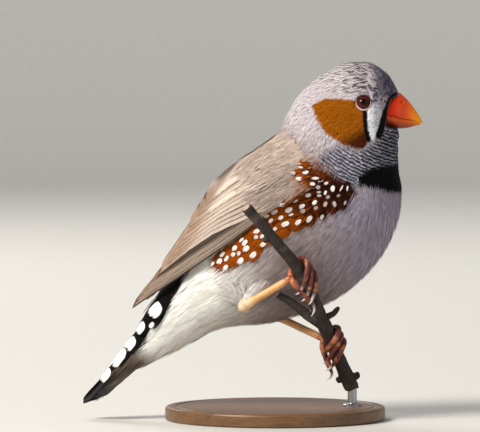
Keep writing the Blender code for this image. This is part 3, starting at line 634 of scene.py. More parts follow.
def layFeathers(surface, nodes, width, heights, template, look, unwrap):
    look = usualLook | look
    places, angles = nodes
    count, number = places.shape
    dPlace, dAngle, normal = tangents(surface, places, angles)
    spine = surface(places, angles)
    steps = np.diff(spine, axis=0)
    length = np.linalg.norm(steps, axis=-1).sum(0)
    ahead = unit(np.concatenate([steps, steps[-1:]]))
    crossWay = unit(np.cross(normal, ahead))
    crossPlace, crossAngle = inSurface(dPlace, dAngle, crossWay)
    strips = template["strips"]
    fray = look["fray"]
    middle = np.abs(-1 + (2 * np.arange(strips) + 1) / strips)
    reach = 1 - look["round"] * middle**2.2 - rng.random((number, strips)) * fray
    drift = rng.normal(0, look["drift"], (number, strips))
    rise = rng.random((number, strips)) * np.broadcast_to(look["lift"], number)[:, None]
    stir = np.broadcast_to(look["jitter"], number)[:, None, None]
    strip = template["strip"]
    u = template["u"][None] * reach[:, strip]
    v = template["v"][None] + drift[:, strip] * template["u"][None]
    spread = 0.5 + 0.5 * ramp(template["u"], 0, 0.5)[None]
    b = v * (width / 2)[:, None] * spread
    at = np.clip(u * (count - 1), 0, count - 1.001)
    i = at.astype(int)
    f = at - i
    feather = np.arange(number)[:, None]

    def along(rows):
        if rows.ndim == 3:
            return rows[i, feather] * (1 - f)[..., None] + rows[i + 1, feather] * f[..., None]
        return rows[i, feather] * (1 - f) + rows[i + 1, feather] * f

    place = along(places) + b * along(crossPlace)
    angle = along(angles) + b * along(crossAngle)
    low, high = heights
    crown = look["crown"] * (1 - np.clip(v, -1, 1) ** 2)
    shape = np.clip(u, 0, 1) ** look["rise"]
    height = low[:, None] + (high - low)[:, None] * shape + crown * ramp(u, 0.1, 0.5) + rise[:, strip] * u**2
    point = surface(place, angle, height)
    bend = along(normal) + along(crossWay) * (v * look["roll"])[..., None] - along(ahead) * 0.1
    bend = unit(bend + (rng.normal(0, 1, (number, strips, 3)) * stir)[:, strip])
    faces = (template["faces"][None] + (np.arange(number) * len(template["u"]))[:, None, None]).reshape(-1, 3)
    corner = point.reshape(-1, 3)[faces[: len(template["faces"])]]
    facing = np.cross(corner[:, 1] - corner[:, 0], corner[:, 2] - corner[:, 0]).sum(0)
    if np.dot(facing, bend[0].mean(0)) < 0:
        faces = faces[:, ::-1]
    rootU, rootV = unwrap(places[0], angles[0])
    patch = np.stack([rootU[:, None] + (v * 0.5) * patchSize, rootV[:, None] + (u - 0.5) * patchSize], -1)
    return {
        "point": point,
        "place": place,
        "angle": angle,
        "faces": faces,
        "normal": bend,
        "along": np.broadcast_to(u, point.shape[:2]),
        "vane": np.stack([b, u * length[:, None], np.broadcast_to(rng.random(number)[:, None] * 9, b.shape)], -1),
        "length": length,
        "patch": patch,
        "strip": strip,
        "number": number,
        "strips": strips,
    }


def bodyUnwrap(place, angle):
    return np.clip(place / faceEnd, 0, 1) * 0.98 + 0.01, (angle / (2 * math.pi)) % 1.0 * 0.88 + 0.01


coat = {
    # along the body from tail root to bill: gap between roots, length, width, depth of the coat, all in mm
    "place": (0.0, 3.0, 6.0, 9.0, 11.0, 12.5, 14.0, 16.0, 17.5, 19.0),
    "gap": (1.2, 1.25, 1.25, 1.15, 0.95, 0.72, 0.55, 0.44, 0.37, 0.31),
    "length": (5.5, 6.0, 6.2, 5.6, 4.4, 3.0, 2.1, 1.6, 1.25, 0.95),
    "width": (2.2, 2.3, 2.4, 2.2, 1.8, 1.35, 1.0, 0.8, 0.66, 0.55),
    "depth": (0.5, 0.8, 1.1, 1.1, 0.9, 0.7, 0.5, 0.38, 0.3, 0.26),
    "eyeClear": 2.05,
}


def coatValue(key, place):
    return np.interp(place, coat["place"], coat[key])


print("stage: skin")
eyeLow, eyeHigh = (np.array(corner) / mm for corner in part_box("eye_right"))
eyeCentre = (eyeLow + eyeHigh) / 2
eyeRadius = float((eyeHigh - eyeLow).mean() / 2)
nearEye = placeInView([20.6], [75.1])[0]
eyeOut = tangents(bodyAt, nearEye[:1], nearEye[1:])[2][0]


# The bill's halves: rows of top x, z, bottom x, z and half width, from the base to the tip
upperBill = (
    (26.2, 75.0, 25.9, 72.25, 3.5),
    (27.0, 76.0, 26.7, 72.1, 3.6),
    (28.2, 76.8, 27.5, 71.9, 3.5),
    (29.3, 77.1, 28.3, 71.62, 3.35),
    (30.3, 76.3, 29.0, 71.36, 3.15),
    (31.4, 75.2, 30.0, 71.12, 2.6),
    (32.5, 73.8, 31.8, 70.88, 1.95),
    (33.6, 72.3, 33.2, 70.58, 1.25),
    (34.4, 71.0, 34.2, 70.22, 0.6),
    (34.8, 70.2, 34.75, 69.9, 0.15),
)
lowerBill = (
    (26.2, 72.1, 26.0, 69.4, 3.5),
    (27.4, 71.85, 27.0, 68.95, 3.4),
    (28.2, 71.52, 27.7, 68.75, 3.3),
    (28.9, 71.26, 28.5, 68.7, 3.1),
    (30.0, 71.02, 29.7, 68.7, 2.55),
    (31.7, 70.78, 31.5, 68.9, 1.85),
    (33.1, 70.54, 33.0, 69.35, 1.15),
    (34.3, 70.14, 34.2, 69.62, 0.5),
)


def besideBill(point):  # tucks in what would cover the sides of the bill
    x, size, z = point[..., 0], np.abs(point[..., 1]), point[..., 2]
    upper, lower = np.array(upperBill), np.array(lowerBill)
    gape = np.interp(x, upper[:, 2], upper[:, 3])
    top, bottom = np.interp(x, upper[:, 0], upper[:, 1]), np.interp(x, lower[:, 2], lower[:, 3])
    above = np.interp(x, upper[:, 0], upper[:, 4]) * np.sqrt(1 - np.clip((z - gape) / (top - gape), 0, 1) ** 2.35)
    below = np.interp(x, lower[:, 0], lower[:, 4]) * np.sqrt(1 - np.clip((gape - z) / (gape - bottom), 0, 1) ** 2.5)
    limit = np.maximum(np.where(z > gape, above, below) - 0.35, 0.05)
    share = ramp(depthInside(x, z, marks["billSide"]), 0.0, 0.45)
    result = point.copy()
    result[..., 1] = np.sign(point[..., 1]) * (size - share * np.maximum(size - limit, 0))
    return result


def fromEye(point, side):  # the way an eye faces, and points' height over it and offset from its axis
    flip = np.array([1, side, 1])
    out, away = eyeOut * flip, point - eyeCentre * flip
    height = away @ out
    return out, height, away - height[..., None] * out


def clearOfEye(point, radius):  # moves points that lie over an eye out to its rim
    for side in (1, -1):
        _, height, aside = fromEye(point, side)
        distance = np.linalg.norm(aside, axis=-1)
        inside = (distance < radius) & (height > -1)
        push = np.where(inside, (radius - distance) * 0.9 / np.maximum(distance, 1e-6), 0)
        point = point + aside * push[..., None]
    return point


def overEye(point, radius):
    result = np.zeros(point.shape[:-1], bool)
    for side in (1, -1):
        _, height, aside = fromEye(point, side)
        result |= (np.linalg.norm(aside, axis=-1) < radius) & (height > -1)
    return result


thighs = {
    "right": {"start": (-1.5, -7.6, 33.2), "hock": (-7.3, -12.9, 27.6), "radius": 4.0},
    "left": {"start": (5.0, 6.0, 31.0), "hock": (-1.2, 8.4, 24.6), "radius": 3.8},
    "hockRadius": 1.3,
}


def thighAt(side):  # the feathered cone above a leg as a surface: place 0 at the hock, 1 inside the body
    shape = thighs[side]
    start, hock = np.array(shape["start"]), np.array(shape["hock"])
    axis = unit(start - hock)
    out = unit(np.cross(axis, (0.0, 1.0, 0.0)))
    other = np.cross(axis, out)
    length = np.linalg.norm(start - hock)

    def surface(place, angle, height=0.0):
        radii = (thighs["hockRadius"] * 0.95, shape["radius"] * 0.66, shape["radius"])
        radius = np.interp(np.clip(place, 0, 1), (0, 0.5, 1), radii) - 0.15 + height
        centre = hock + axis * (place * length)[..., None]
        return centre + radius[..., None] * turnedTo(out, other, angle)

    return surface


def skin():
    rings, sides = 190, 120
    place, angle = gridOf(np.linspace(0.1, faceEnd, rings), fullTurn(sides))
    height = -coatValue("depth", place) + 0.05
    point = bodyAt(place, angle, height)
    for side in (1, -1):  # the eye sits in a shallow dip
        out, level, aside = fromEye(point, side)
        dip = 0.25 * np.exp(-((np.linalg.norm(aside, axis=-1) / 1.9) ** 4)) * (level > 0)
        point = point - out * dip[..., None]
    points, faces = closedRings(besideBill(point))
    allPlaces = np.concatenate([place.ravel(), [0.1, faceEnd]])
    allAngles = np.concatenate([angle.ravel(), [math.pi, math.pi]])
    colour = plumage(points, allPlaces, allAngles)[0]
    patch = np.stack(bodyUnwrap(allPlaces, allAngles), -1)
    shapes, colours, patches = [(points, faces)], [colour], [patch]
    for index, side in enumerate(("right", "left")):
        surface = thighAt(side)
        place, angle = gridOf(np.linspace(0.02, 1, 24), fullTurn(28))
        thigh, thighFaces = closedRings(surface(place, angle, np.full(place.shape, -0.2)))
        shapes.append((thigh, thighFaces))
        colours.append(np.broadcast_to(shades["vent"], thigh.shape))
        flat = np.concatenate([angle.ravel() / (2 * math.pi), [0.5, 0.5]]), np.concatenate([place.ravel(), [0, 1]])
        patches.append(np.stack([flat[0] * 0.4 + 0.05 + 0.5 * index, flat[1] * 0.06 + 0.92], -1))
    points, faces = joined(shapes)
    # down-covered skin, seen only between feathers: mottled like down, and darker than the feathers as painted shade
    # of the gaps
    material, add, shader = startMaterial("skinUnderCoat", {"Roughness": 0.9})
    tint = add("Attribute", out="Color", attribute_name="tint")
    place = add("TexCoord", out="Object")
    down = add("TexNoise", {"Vector": place, "Scale": 2500.0, "Detail": 3.0})
    shade = add("MapRange", [down, 0.3, 0.7, 0.55, 0.85])
    final = add("Mix", [1.0, tint, shade], blend_type="MULTIPLY")
    bump = add("Bump", {"Height": down, "Strength": 0.6, "Distance": 0.0001})
    plug(shader, {"Base Color": final, "Normal": bump})
    piece = makePiece(
        "skin", points, faces, material, "plumage", np.concatenate(colours), None, np.concatenate(patches)
    )
    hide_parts("torso", "neck", "head", "thigh_right", "thigh_left")


skin()

# The folded wing's chart: s runs from the shoulder to the tip in side view, h across it
wing = {
    "shoulder": (10.1, 55.7),
    "tip": (-33.5, 26.4),
    "low": ((0, 0.0), (7.2, 1.1), (14.3, 1.6), (21.7, 0.6), (31.3, 0.0), (38, 0.4), (44.5, 0.5), (52.6, 0.0)),
    "high": (
        (0, 13.6), (6.3, 14.4), (11.8, 14.7), (18.7, 12.0), (26.9, 9.5), (34, 7.4), (40.7, 4.6), (45.9, 1.8),
        (52.6, 0.3),
    ),
    "depthLow": ((0, 13.8), (14.3, 13.6), (31.3, 10.6), (38, 8.2), (44.5, 5.8), (52.6, 3.4)),
    "depthHigh": ((0, 2.6), (20, 1.9), (34, 1.5), (46, 2.4), (52.6, 3.2)),
    "curve": 0.6,
    "turn": 0.94,
    "clear": 0.4,
    "shingle": 0.32,
    "thick": 0.14,
    "hides": 50.0,  # how far down the wing it covers the coat
    "stepS": 1.0,  # mm between the points of the chart's grid
    "stepH": 0.75,
}
wingWay = unit(np.subtract(wing["tip"], wing["shoulder"]))
wingCross = np.array([wingWay[1], -wingWay[0]])


def profile(table, s):
    return np.interp(s, [row[0] for row in table], [row[1] for row in table])


def wingChart(x, z):
    dx, dz = x - wing["shoulder"][0], z - wing["shoulder"][1]
    return dx * wingWay[0] + dz * wingWay[1], dx * wingCross[0] + dz * wingCross[1]


def insideWing(x, z):  # how far inside the folded wing's outline, in mm
    s, h = wingChart(x, z)
    return np.minimum.reduce([h - profile(wing["low"], s), profile(wing["high"], s) - h, s, wing["hides"] - s])


def wingBase():  # the wing's base surface and its normals on a grid of s and h
    place, angle = gridOf(np.linspace(0, faceEnd, 90), fullTurn(60))
    tree = meshTree(*closedRings(bodyAt(place, angle)))
    sValues, hValues = np.arange(-3, 57.1, wing["stepS"]), np.arange(-4, 19.1, wing["stepH"])
    grid = np.zeros((len(sValues), len(hValues), 3))
    for i, s in enumerate(sValues):
        low, high = profile(wing["low"], s), profile(wing["high"], s)
        near, far = profile(wing["depthHigh"], s), profile(wing["depthLow"], s)
        for k, h in enumerate(hValues):
            f = min(max((h - low) / max(high - low, 0.3), 0.0), wing["turn"])
            depth = near + (far - near) * math.cos(f * math.pi / 2) ** wing["curve"]
            x, z = np.asarray(wing["shoulder"]) + wingWay * s + wingCross * h
            hit, normal, _, _ = tree.find_nearest(Vector((x, -depth, z)))
            short = wing["clear"] - (Vector((x, -depth, z)) - hit).dot(normal)
            grid[i, k] = Vector((x, -depth, z)) + normal * max(short, 0.0)
    for _ in range(3):
        soft = grid.copy()
        around = grid[:-2, 1:-1] + grid[2:, 1:-1] + grid[1:-1, :-2] + grid[1:-1, 2:]
        soft[1:-1, 1:-1] = (around + 2 * grid[1:-1, 1:-1]) / 6
        grid = soft
    normals = unit(np.cross(np.gradient(grid, axis=0), np.gradient(grid, axis=1)))
    normals = np.where(normals[..., 1:2] > 0, -normals, normals)
    return sValues, hValues, grid, normals


wingS, wingH, wingGrid, wingNormals = wingBase()


def wingAt(s, h):  # base point and normal at places on the wing
    i = np.clip((s - wingS[0]) / wing["stepS"], 0, len(wingS) - 1.001)
    k = np.clip((h - wingH[0]) / wing["stepH"], 0, len(wingH) - 1.001)
    a, b = i.astype(int), k.astype(int)
    f, g = (i - a)[..., None], (k - b)[..., None]

    def look(grid):
        low = grid[a, b] * (1 - f) + grid[a + 1, b] * f
        high = grid[a, b + 1] * (1 - f) + grid[a + 1, b + 1] * f
        return low * (1 - g) + high * g

    return look(wingGrid), unit(look(wingNormals))


# Tiers of the wing, lowest layer first: count, first and last root (s, h), first and last tip, half width,
# lift of the first vane and of each next one, colour of the web, mm of a vane that the next one leaves showing
# at root and tip, bow of the first and last vane
tiers = {
    "upperEdge": (
        4, (12, 5.0), (12, 10.0), (48.5, 1.3), (33.0, 7.4), 1.7, 0.12, 0.04, "#a08c7d", (3.8, 3.8), (0.3, 0.3)
    ),
    "primaries": (
        8, (12, 2.0), (11, 4.3), (52.4, 1.2), (43.0, 3.7), 1.35, 0.32, 0.06, "#ab9585", (0.42, 0.38), (0.1, 0.3)
    ),
    "secondaries": (
        7, (10.5, 2.6), (10.3, 9.8), (42.0, 4.2), (29.0, 9.0), 1.8, 0.8, 0.06, "#bba799", (1.3, 0.62), (2.1, 0.4)
    ),
    "tertials": (
        3, (9.4, 10.2), (9.8, 12.8), (30.5, 9.4), (24.5, 11.6), 2.2, 1.15, 0.07, "#b9a698", (1.6, 1.25), (0.3, 0.2)
    ),
}


def vaneShare(f, tipFrom):  # half width along a vane, and the same with the rounding of its tip
    base = 0.5 + 0.5 * min(f / 0.3, 1.0)
    return base, base * math.sqrt(max(1.0 - max((f - tipFrom) / (1.002 - tipFrom), 0.0) ** 2, 0.0))


def flightVane(centreAt, frameAt, halfWidth, rows, thick, shingle, shown, tipFrom=0.62, tipSide=0.0, calm=0.0):
    # one closed vane: its centre line and its frame are functions of the share along it
    offsets = np.array([-1.0, -0.75, -0.4, 0.0, 0.4, 0.75, 1.0])
    shares = np.linspace(0, 1, rows) ** 0.9
    notch = 1 - 0.06 * (rng.random((rows, 2)) > 0.78) * (shares > 0.5)[:, None]
    rings, across, vane, alongs = [], [], [], []
    both = [*offsets, *offsets[::-1]]
    length = np.linalg.norm(np.asarray(centreAt(1.0)) - np.asarray(centreAt(0.0)))
    own = rng.random() * 9
    for j, f in enumerate(shares):
        full, narrow = vaneShare(f, tipFrom)
        w = max(halfWidth * narrow, 0.1)
        aside = tipSide * halfWidth * (full - narrow)  # the tip keeps to the outer edge
        top, bottom = [], []
        for e in offsets:
            edge = e * w * (notch[j, 0] if e < 0 else notch[j, 1]) + aside
            lift = shingle * (1 - e) / 2 + 0.06 * (1 - e * e)
            slim = thick * (1.0 if abs(e) < 0.9 else 0.5)
            upper, lower = frameAt(f, edge, lift, slim)
            top.append(upper)
            bottom.append(lower)
        rings.append(np.array(top + bottom[::-1]))
        plain = calm * float(ramp(f, 0.62, 0.86))  # towards a soft tip the markings fade
        showing = shown[0] + (shown[1] - shown[0]) * f
        most = 0.6 * (1 - f) * length + 0.05
        across += [min((1 + e) * w, most) / showing * (1 - plain) + 0.42 * plain for e in both]
        vane += [(e * w, f * length, own) for e in both]
        alongs += [f] * len(both)
    points, faces = closedRings(rings)
    across += [0.0, 0.0]
    vane += [(0, 0, own), (0, length, own)]
    alongs += [0.0, 1.0]
    return points, faces, np.array(across), np.array(vane), np.array(alongs)


def between(a, b, share):
    return np.array(a) * (1 - share) + np.array(b) * share


def wingVanes():
    made = []
    for name, (count, rootA, rootB, tipA, tipB, half, over, step, colour, shown, bow) in tiers.items():
        base = hexColour(colour)
        for i in range(count):
            f = i / (count - 1)
            bend = bow[0] + (bow[1] - bow[0]) * f
            shift = rng.normal(0, 0.1, 4)
            root = between(rootA, rootB, f) + shift[:2]
            tip = between(tipA, tipB, f) + shift[2:] * (1.5, 0.4)
            way = unit(tip - root)
            side = np.array([-way[1], way[0]])
            lift = over + step * i

            def centre(share):
                return root + (tip - root) * share + side * bend * math.sin(math.pi * share)

            def layer(share, edge, rise, slim):
                at = centre(share) + side * edge
                point, normal = wingAt(np.array(at[0]), np.array(at[1]))
                raised = lift * (0.5 + 0.5 * min(share / 0.35, 1.0)) + rise
                return point + normal * raised, point + normal * (raised - slim)

            bare = name != "primaries" and i == count - 1  # nothing covers the last vane
            showing, calm = (5.0, 5.0) if bare else shown, 0.0 if name == "primaries" else 0.95
            points, faces, a, v, u = flightVane(
                centre, layer, half, 24, wing["thick"], wing["shingle"], showing, 0.62, -0.85, calm
            )
            # the lowest primary and the two beside the secondaries are darkened and have no pale fringe: painted
            # shadow along the wing's lower edge and under the secondaries
            paintedShadow = {0: 0.42, count - 2: 0.78, count - 1: 0.14}.get(i) if name == "primaries" else None
            if paintedShadow:
                a = a + 0.4
            tone = base * (paintedShadow or 1.0 - 0.12 * (i % 2)) * (1 + rng.normal(0, 0.04))
            made.append((points, faces, a, v, u, mixed(tone, tone * (0.62, 0.52, 0.42), ramp(u, 0.5, 1.0))))
    return joined(made)


print("stage: wings")
wingFeather = flightMaterial("wingFeather", "#dfcfbf", "#77665a", "#3f3128", 0.7)
wingPoints, wingFaces, across, vane, along, tint = wingVanes()
fields = {"across": across, "along": along, "vane": vane}
for side, node in ((1, "wing_right"), (-1, "wing_left")):
    flipped = wingPoints * np.array([1, side, 1])
    piece = makePiece(
        "wing" + sideName[side], flipped, wingFaces[:, ::side], wingFeather, "wing_feathers", tint, fields
    )
    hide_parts(node)


def scatter(gapAt, surface, placeRange, angleRange, drop, seed):  # roots at even but irregular distances
    draw = np.random.default_rng(seed)
    steps = 240
    placeStep, angleStep = (placeRange[1] - placeRange[0]) / steps, (angleRange[1] - angleRange[0]) / steps
    place, angle = gridOf(np.linspace(*placeRange, steps), np.linspace(*angleRange, steps))
    dPlace, dAngle, _ = tangents(surface, place, angle)
    area = np.linalg.norm(np.cross(dPlace, dAngle), axis=-1)
    wanted = (area * placeStep * angleStep / gapAt(place) ** 2).ravel()
    number = int(wanted.sum() * 5)
    pick = draw.choice(len(wanted), number, p=wanted / wanted.sum())
    places = place.ravel()[pick] + draw.uniform(-0.5, 0.5, number) * placeStep
    angles = angle.ravel()[pick] + draw.uniform(-0.5, 0.5, number) * angleStep
    points = surface(places, angles, np.zeros(number))
    keep = ~drop(points, places, angles) & (places >= placeRange[0]) & (places <= placeRange[1])
    places, angles, points = places[keep], angles[keep], points[keep]
    gaps = gapAt(places) * 0.86
    tree = pointTree(points)
    gone, kept = np.zeros(len(points), bool), []
    for index in range(len(points)):
        if gone[index]:
            continue
        kept.append(index)
        for _, other, _ in tree.find_range(points[index], gaps[index]):
            gone[other] = True
    return places[kept], angles[kept]


def underWing(points, places, angles):  # deep under a folded wing, or on an eye
    s, _ = wingChart(points[..., 0], points[..., 2])
    hidden = (insideWing(points[..., 0], points[..., 2]) > np.where(s < 4, 1.6, 3.0)) & (np.abs(points[..., 1]) > 1.5)
    return hidden | overEye(points, coat["eyeClear"])


contourFeather = plumageMaterial()


def finishCoat(
    name, laid, colourAt, drapeOver=None, spots=None, material=contourFeather,
    dropEye=True, slotName="plumage", mirror=False,
):
    point, number, strips, strip = (laid[key] for key in ("point", "number", "strips", "strip"))
    flip = np.array([1, -1, 1]) if mirror else np.ones(3)
    if drapeOver is not None:
        point = drapeOver(point, laid)
    if dropEye:
        point = besideBill(clearOfEye(point, coat["eyeClear"]))
    jitter = np.stack([rng.normal(0, 1, (number, strips)), rng.normal(0, 1, (number, strips))], -1)[:, strip]
    colour, rim, bars, *rest = colourAt(point, laid, jitter)
    tone = 1 + rng.normal(0, 0.045, (number, 1, 1)) + rng.normal(0, 0.03, (number, strips))[:, strip, None]
    colour = np.clip(colour * tone, 0, 1)
    faces = laid["faces"][:, ::-1] if mirror else laid["faces"]
    laid["final"] = point
    flat = (point * flip).reshape(-1, 3)
    if dropEye:
        faces = faces[~overEye(flat[faces].mean(1), coat["eyeClear"] * 0.93)]
    barX, barZ = featherLook["barCentre"]
    run = np.hypot(point[..., 0] - barX, point[..., 2] - barZ) + rng.normal(0, 0.08, (number, 1))
    numbers = {"along": laid["along"], "rim": rim, "bars": bars, "run": run, "grain": rest[0] if rest else 1.0}
    fields = {key: np.broadcast_to(value, point.shape[:2]).reshape(-1) for key, value in numbers.items()}
    fields["vane"] = laid["vane"].reshape(-1, 3)
    if spots is not None:
        fields["spot"] = spots(laid).reshape(-1, 3)
    perFeather, most = len(strip), 190000  # triangles in one piece
    parts = math.ceil(len(faces) / most)
    edges = np.linspace(0, number, parts + 1).astype(int)
    owner = faces[:, 0] // perFeather
    for part, (a, b) in enumerate(zip(edges, edges[1:])):
        rows = slice(a * perFeather, b * perFeather)
        makePiece(
            name if parts == 1 else f"{name}{part + 1}",
            flat[rows],
            faces[(owner >= a) & (owner < b)] - a * perFeather,
            material,
            slotName,
            colour.reshape(-1, 3)[rows],
            {key: value[rows] for key, value in fields.items()},
            laid["patch"].reshape(-1, 2)[rows],
            (laid["normal"] * flip).reshape(-1, 3)[rows],
        )


def mirrored(places, side):  # places and angles of the right side, or the same ones on the left
    return places if side == 1 else places * (1, -1) + (0, 2 * math.pi)


def bodyColour(point, laid, jitter):
    size = np.interp(laid["place"], (10, 14), (0.5, 0.09))
    moved = point.copy()
    moved[..., 0] += jitter[..., 0] * size
    moved[..., 2] += jitter[..., 1] * size
    return plumage(moved, laid["place"], laid["angle"] % (2 * math.pi))


# Soft feathers over the wing's shoulder: lesser and median coverts low, scapulars above
softWing = {
    # roots (s from, to; h above the wing's lower edge, below its upper edge), gap, length, width, heights, tone, rim
    "greatCoverts": {
        "s": (3.0, 13.5), "low": 0.4, "high": 0.8, "gap": 1.05, "length": 6.8, "width": 2.0, "lift": (0.7, 1.35),
        "tone": "#b39f92", "rim": 0.3, "tips": ((1.0, 15.6), (6.0, 18.0), (11.0, 19.0)),
    },
    "softCoverts": {
        "s": (-1.5, 5.0), "low": 0.5, "high": 1.0, "gap": 1.05, "length": 5.2, "width": 2.2, "lift": (0.85, 1.55),
        "tone": "#ae9a8e", "rim": 0.2,
    },
    "scapulars": {
        "s": (-1.5, 10.0), "low": 5.4, "high": 0.3, "gap": 1.1, "length": 6.2, "width": 2.4, "lift": (1.05, 1.9),
        "tone": "#b9a598", "rim": 0.2,
    },
    # h, and how far down the wing the feathers without tips of their own reach there
    "tipLimit": ((1.0, 6.5), (2.4, 8.6), (5.0, 11.5), (7.4, 14.4), (10.0, 15.6), (14.0, 15.2)),
}


def wingSurface(place, angle, height=0.0):
    point, normal = wingAt(-np.asarray(place), -np.asarray(angle))
    return point + normal * np.asarray(height)[..., None]


def wingUnwrap(place, angle):
    return (4 - place) / 62, (4 - angle) / 25


wingShapes = [(wingPoints, wingFaces)]
for index, name in enumerate(("greatCoverts", "softCoverts", "scapulars")):
    soft = softWing[name]
    tips = soft.get("tips", softWing["tipLimit"])

    def offWing(points, places, angles):
        s, h = -places, -angles
        off = (h < profile(wing["low"], s) + soft["low"]) | (h > profile(wing["high"], s) - soft["high"])
        return off | (s + soft["length"] * 0.9 > profile(tips, h))

    def evenGap(place):
        return np.full(np.shape(place), soft["gap"])

    near, far = soft["s"]
    places, angles = scatter(evenGap, wingSurface, (-far, -near), (-15.0, -0.2), offWing, 40 + index)
    own = np.random.default_rng(60 + index)
    count = len(places)
    length = soft["length"] * own.uniform(0.8, 1.15, count) * np.interp(-places, (-1, 5), (0.75, 1.0))
    turn = own.normal(0.0, 0.07, count) - 0.012 * (-angles - 7.0)
    start = np.stack([places, angles], -1)
    end = start - np.stack([length * np.cos(turn), length * np.sin(turn)], -1)
    front = np.interp(-places, (-1.5, 4.0), (0.1, 1.0))
    tipFront = np.interp(-end[:, 0], (-1.5, 7.0), (0.2, 1.0))
    heights = (soft["lift"][0] * front, soft["lift"][1] * tipFront + own.uniform(-0.06, 0.1, count))
    laid = layFeathers(
        wingSurface,
        straightNodes(start, end),
        soft["width"] * own.uniform(0.85, 1.1, count),
        heights,
        featherTemplate(11, (0, 0.35, 0.62, 0.84)),
        {"fray": 0.26, "round": 0.25, "lift": 0.07, "drift": 0.1, "jitter": 0.04, "roll": 0.15, "crown": 0.05},
        wingUnwrap,
    )

    def softColour(point, laid, jitter):
        tone = hexColour(soft["tone"])
        low = ramp(-laid["angle"], 3.0, 9.0)
        # the last row is edged paler, as a light band under the scapulars
        last = ramp(-laid["place"][:, -1:] - profile(tips, -laid["angle"][:, -1:]), -2.2, -1.0)
        pale = last * ramp(laid["along"], 0.58, 0.78) * (0.75 if "tips" not in soft else 0.2)
        return mixed(mixed(tone * 0.95, tone * 1.03, low), hexColour("#e3d8d0"), pale), soft["rim"], 0.0, 0.8

    for side in (1, -1):
        finishCoat(name + sideName[side], laid, softColour, dropEye=False, slotName="wing_feathers", mirror=side < 0)
        if side == 1:
            wingShapes.append((laid["final"].reshape(-1, 3), laid["faces"]))
    print(name, count, "feathers a side")
wingTree = meshTree(*joined(wingShapes))


def liftOverWing(point, chosen, rise):  # raises chosen points clear of the folded wing's feathers
    result = point.copy()
    for index in map(tuple, np.argwhere(chosen)):
        x, y, z = point[index]
        side = -1.0 if y < 0 else 1.0
        hit, _, _, _ = wingTree.ray_cast(Vector((x, -60.0, z)), Vector((0.0, 1.0, 0.0)))
        if hit is not None:
            result[index][1] = side * max(abs(y), abs(hit[1]) + rise[index])
    return result


def drapeOnWing(point, laid):  # for plumes that lie over the wing's lower edge
    near = insideWing(point[..., 0], point[..., 2]) > -1.5
    return liftOverWing(point, near, 0.1 + 0.35 * laid["along"])


def drapeShoulder(point, laid):  # eases the neck's and mantle's feathers over the front of the wing
    s, h = wingChart(point[..., 0], point[..., 2])
    base, _ = wingAt(s, h)
    rise = np.interp(s, (-3.5, -1.5, 0.5, 4.0, 7.0), (-0.6, 0.1, 0.75, 1.35, 1.95)) + 0.2 * laid["along"]
    near = (s > -3.5) & (s < 8.5) & (h > -0.5) & (h < profile(wing["high"], s) + 1.2) & (laid["place"] > 8.3)
    top = profile(wing["high"], s)  # on the ridge of the back the feathers stay where they grow
    size = np.abs(point[..., 1])
    share = ramp(s, -3.5, -1.0) * ramp(h, -0.5, 1.5) * ramp(size, 1.6, 4.4) * ramp(top - h, -0.6, 2.2)
    level = np.maximum(np.abs(base[..., 1]) + rise - size, 0) * share
    result = point.copy()
    result[..., 1] += np.where(near, np.sign(point[..., 1]) * level, 0)
    return result


print("stage: coat")
coatParts = {
    # from and to along the body; a feather's strips, their stops and taper; seed and look
    "coatBody": (
        (2.0, 8.5), (11, (0, 0.35, 0.62, 0.84)), 3,
        {"fray": 0.3, "round": 0.25, "drift": 0.1, "roll": 0.2, "crown": 0.07},
    ),
    "coatBreast": (
        (8.5, 12.6), (11, (0, 0.35, 0.62, 0.84), 0.6), 5,
        {"fray": 0.22, "drift": 0.06, "roll": 0.12, "crown": 0.03},
    ),
    "coatHead": (
        (12.6, 19.0), (7, (0, 0.4, 0.62, 0.82), 0.5), 4,
        {"fray": 0.16, "roll": 0.12, "crown": 0.02},
    ),
}
for name, (span, feather, seed, look) in coatParts.items():
    template = featherTemplate(*feather)
    places, angles = scatter(partial(coatValue, "gap"), bodyAt, span, (0, 2 * math.pi), underWing, seed)
    own = np.random.default_rng(seed + 50)
    roots = bodyAt(places, angles)
    # the feathers of the crown stand a little, and those of the rear flank and vent are ruffled
    loose = ramp(roots[:, 2] - 0.05 * places, 76.5, 79.5) * ramp(roots[:, 0], 8.0, 13.0)
    ruffled = ramp(-places, -8.5, -6.0)
    length = coatValue("length", places) * own.uniform(0.85, 1.15, len(places)) * (1 + 0.35 * loose)
    width = coatValue("width", places) * own.uniform(0.9, 1.1, len(places)) * (1 + 0.1 * loose)
    depth = coatValue("depth", places)
    sweep = own.normal(0, 0.06, len(places)) * (1 + 1.5 * loose + 0.5 * ruffled)
    nodes = flowNodes(bodyAt, places, angles, length, sweep)
    spread = 0.3 + 0.7 * np.maximum(loose, ruffled)
    ends = bodyAt(nodes[0][-1], nodes[1][-1])
    underPlumes = ramp(depthInside(ends[:, 0], ends[:, 2], marks["flank"]), -1.0, 1.0)
    top = 0.02 * length + own.uniform(-0.1, 0.12, len(places)) * depth * spread
    stray = own.uniform(-0.05, 0.4, len(places)) + 0.5 * (own.random(len(places)) > 0.94)
    heights = (-depth, top + loose * stray - 0.4 * underPlumes)
    look = look | {"lift": 0.02 + 0.07 * ruffled + 0.2 * loose, "jitter": 0.015 + 0.03 * np.maximum(loose, ruffled)}
    laid = layFeathers(bodyAt, nodes, width, heights, template, look, bodyUnwrap)
    finishCoat(name, laid, bodyColour, None if name == "coatHead" else drapeShoulder)
    print(name, len(places), "feathers")

